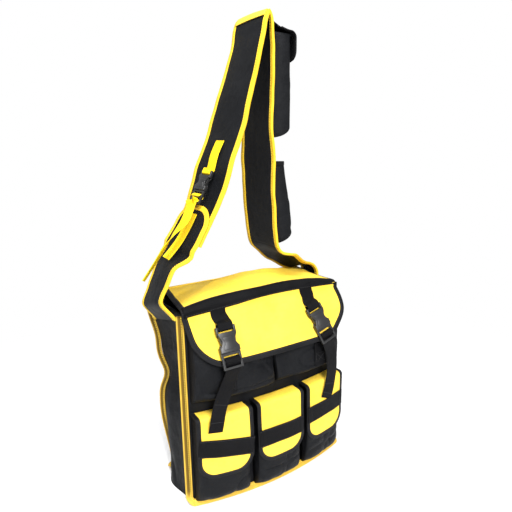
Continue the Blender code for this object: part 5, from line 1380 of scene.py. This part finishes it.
pouch("upper_pouch_body", "upper_pouch", foot=0.684, mouth=0.868, depth=0.049, mouth_depth=0.047, shift=41)
lower_pouch = pouch("lower_pouch_body", "lower_pouch", foot=0.482, mouth=0.640, depth=0.046,
                    mouth_depth=0.030, shift=43)
pouch_trim("lower_pouch_mouth", lower_pouch)
pouch_flap()

# Buckles: moulded plastic side-release buckles; the sleeve is waisted, so its latch arms show at both sides.
# The sleeve is built from plates and blocks; ladders and arms keep their shape with rounded edges.
WAIST, WAIST_SHARE, WAIST_REACH_SHARE, SLEEVE_TAPER, EDGE_ROUND = 0.0060, 0.55, 0.24, 0.0006, 0.0007
PAD_FOOT, PAD_TOP, PAD_RISE, PAD_SHARE = 0.005, 0.008, 0.0006, 0.62
CROSS_WALL_IN, CROSS_WALL_BACK, SHOULDER_BACK = 0.0005, 0.0004, 0.0003
SHOULDER_SHARE, POST_SHARE, POST_PROUD = 0.30, 0.88, 0.0008
WELD_DISTANCE, FLAT_ANGLE = 0.00001, radians(2)


def block(low, high):
    """Two rings of four points: a box between two corners."""
    (x0, y0, z0), (x1, y1, z1) = low, high
    return np.array([[(x0, y0, z), (x1, y0, z), (x1, y1, z), (x0, y1, z)] for z in (z0, z1)])


def waisted(half, low, high, front, back, share=1.0):
    """Rings up a plate whose sides curve in to a waist."""
    z = np.linspace(low, high, 19)
    t = (z - low) / (high - low)
    waist = WAIST * np.exp(-(((t - WAIST_SHARE) / WAIST_REACH_SHARE) ** 2))
    w = (half - waist - SLEEVE_TAPER * t) * share
    corners = ((-1, front), (1, front), (1, back), (-1, back))
    return np.stack([stack(side * w, y, z) for side, y in corners], 1)


def round_edges(piece):
    bevel = piece.modifiers.new("rounded_edges", "BEVEL")
    bevel.width, bevel.segments, bevel.limit_method = EDGE_ROUND, 2, "ANGLE"


def moulding(name, solids, axes, body):
    """One moulded piece from closed prisms, placed by a frame, with rounded edges."""
    points, faces, count = [], [], 0
    for rings in solids:
        rows = len(rings)
        points.append(rings.reshape(-1, 3))
        ends = np.array([[3, 2, 1, 0], np.arange(4) + 4 * (rows - 1)])
        faces.append(np.vstack([grid_faces(rows, 4, wrap=True)[:, ::-1], ends]) + count)
        count += rows * 4
    points = np.vstack(points)
    piece = mesh_piece(name, np.array(in_world(axes, points)), np.vstack(faces), points[:, [0, 2]], PLASTIC)
    round_edges(piece)
    carry(piece, body)
    return piece


def sleeve(side, size, axes, body):
    """A sleeve: two padded plates, a cross wall, side shoulders, and posts that hold the webbing's bar."""
    half, deep, wall = size["web"] / 2 + size["frame"], size["deep"] / 2, size["wall"]
    long, slot_top = size["sleeve"], size["sleeve"] + size["slot"]
    top, thin = slot_top + size["bar"], size["bar_deep"] / 2
    pad_top = long - PAD_TOP
    solids = [waisted(half, 0, long, -deep, -deep + wall), waisted(half, 0, long, deep - wall, deep),
              waisted(half, PAD_FOOT, pad_top, -deep - PAD_RISE, -deep + wall / 2, PAD_SHARE),
              waisted(half, PAD_FOOT, pad_top, deep - wall / 2, deep + PAD_RISE, PAD_SHARE),
              block((-half + CROSS_WALL_IN, -deep + CROSS_WALL_BACK, long - wall),
                    (half - CROSS_WALL_IN, deep - CROSS_WALL_BACK, long)),
              block((-half, -thin, slot_top), (half, thin, top))]
    for way in (-1, 1):
        inner, outer = sorted((way * (size["web"] / 2 + size["room"]), way * half))
        solids.append(block((inner, -deep + SHOULDER_BACK, 0.0),
                            (outer, deep - SHOULDER_BACK, SHOULDER_SHARE * long)))
        inner, outer = sorted((way * (size["web"] / 2 + SEAM_GAP), way * half))
        solids.append(block((inner, -thin - POST_PROUD, POST_SHARE * long), (outer, thin + POST_PROUD, top)))
    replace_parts(moulding(f"{side}_sleeve", solids, axes, body), f"{side}_buckle_female")


def rounded_copy(node, body):
    """A node's own shape, with its edges rounded."""
    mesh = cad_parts[node].data.copy()
    mesh.materials.clear()
    mesh.materials.append(PLASTIC)
    piece = bpy.data.objects.new(f"{node}_moulding", mesh)
    bpy.context.scene.collection.objects.link(piece)
    piece.modifiers.new("welded", "WELD").merge_threshold = WELD_DISTANCE
    flat = piece.modifiers.new("flat_faces", "DECIMATE")
    flat.decimate_type, flat.angle_limit = "DISSOLVE", FLAT_ANGLE
    round_edges(piece)
    carry(piece, body)
    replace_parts(piece, node)


for side in ("left", "right"):
    sleeve(side, FLAP_BUCKLE, flap_axes(side), "flap_front_body")
sleeve("strap", STRAP_BUCKLE, STRAP_AXES, "strap_body")
for side in ("left", "right", "strap"):
    rounded_copy(f"{side}_buckle_male", f"{side}_male_body")
    for way in ("left", "right"):
        rounded_copy(f"{side}_buckle_arm_{way}", f"{side}_arm_{way}_body")
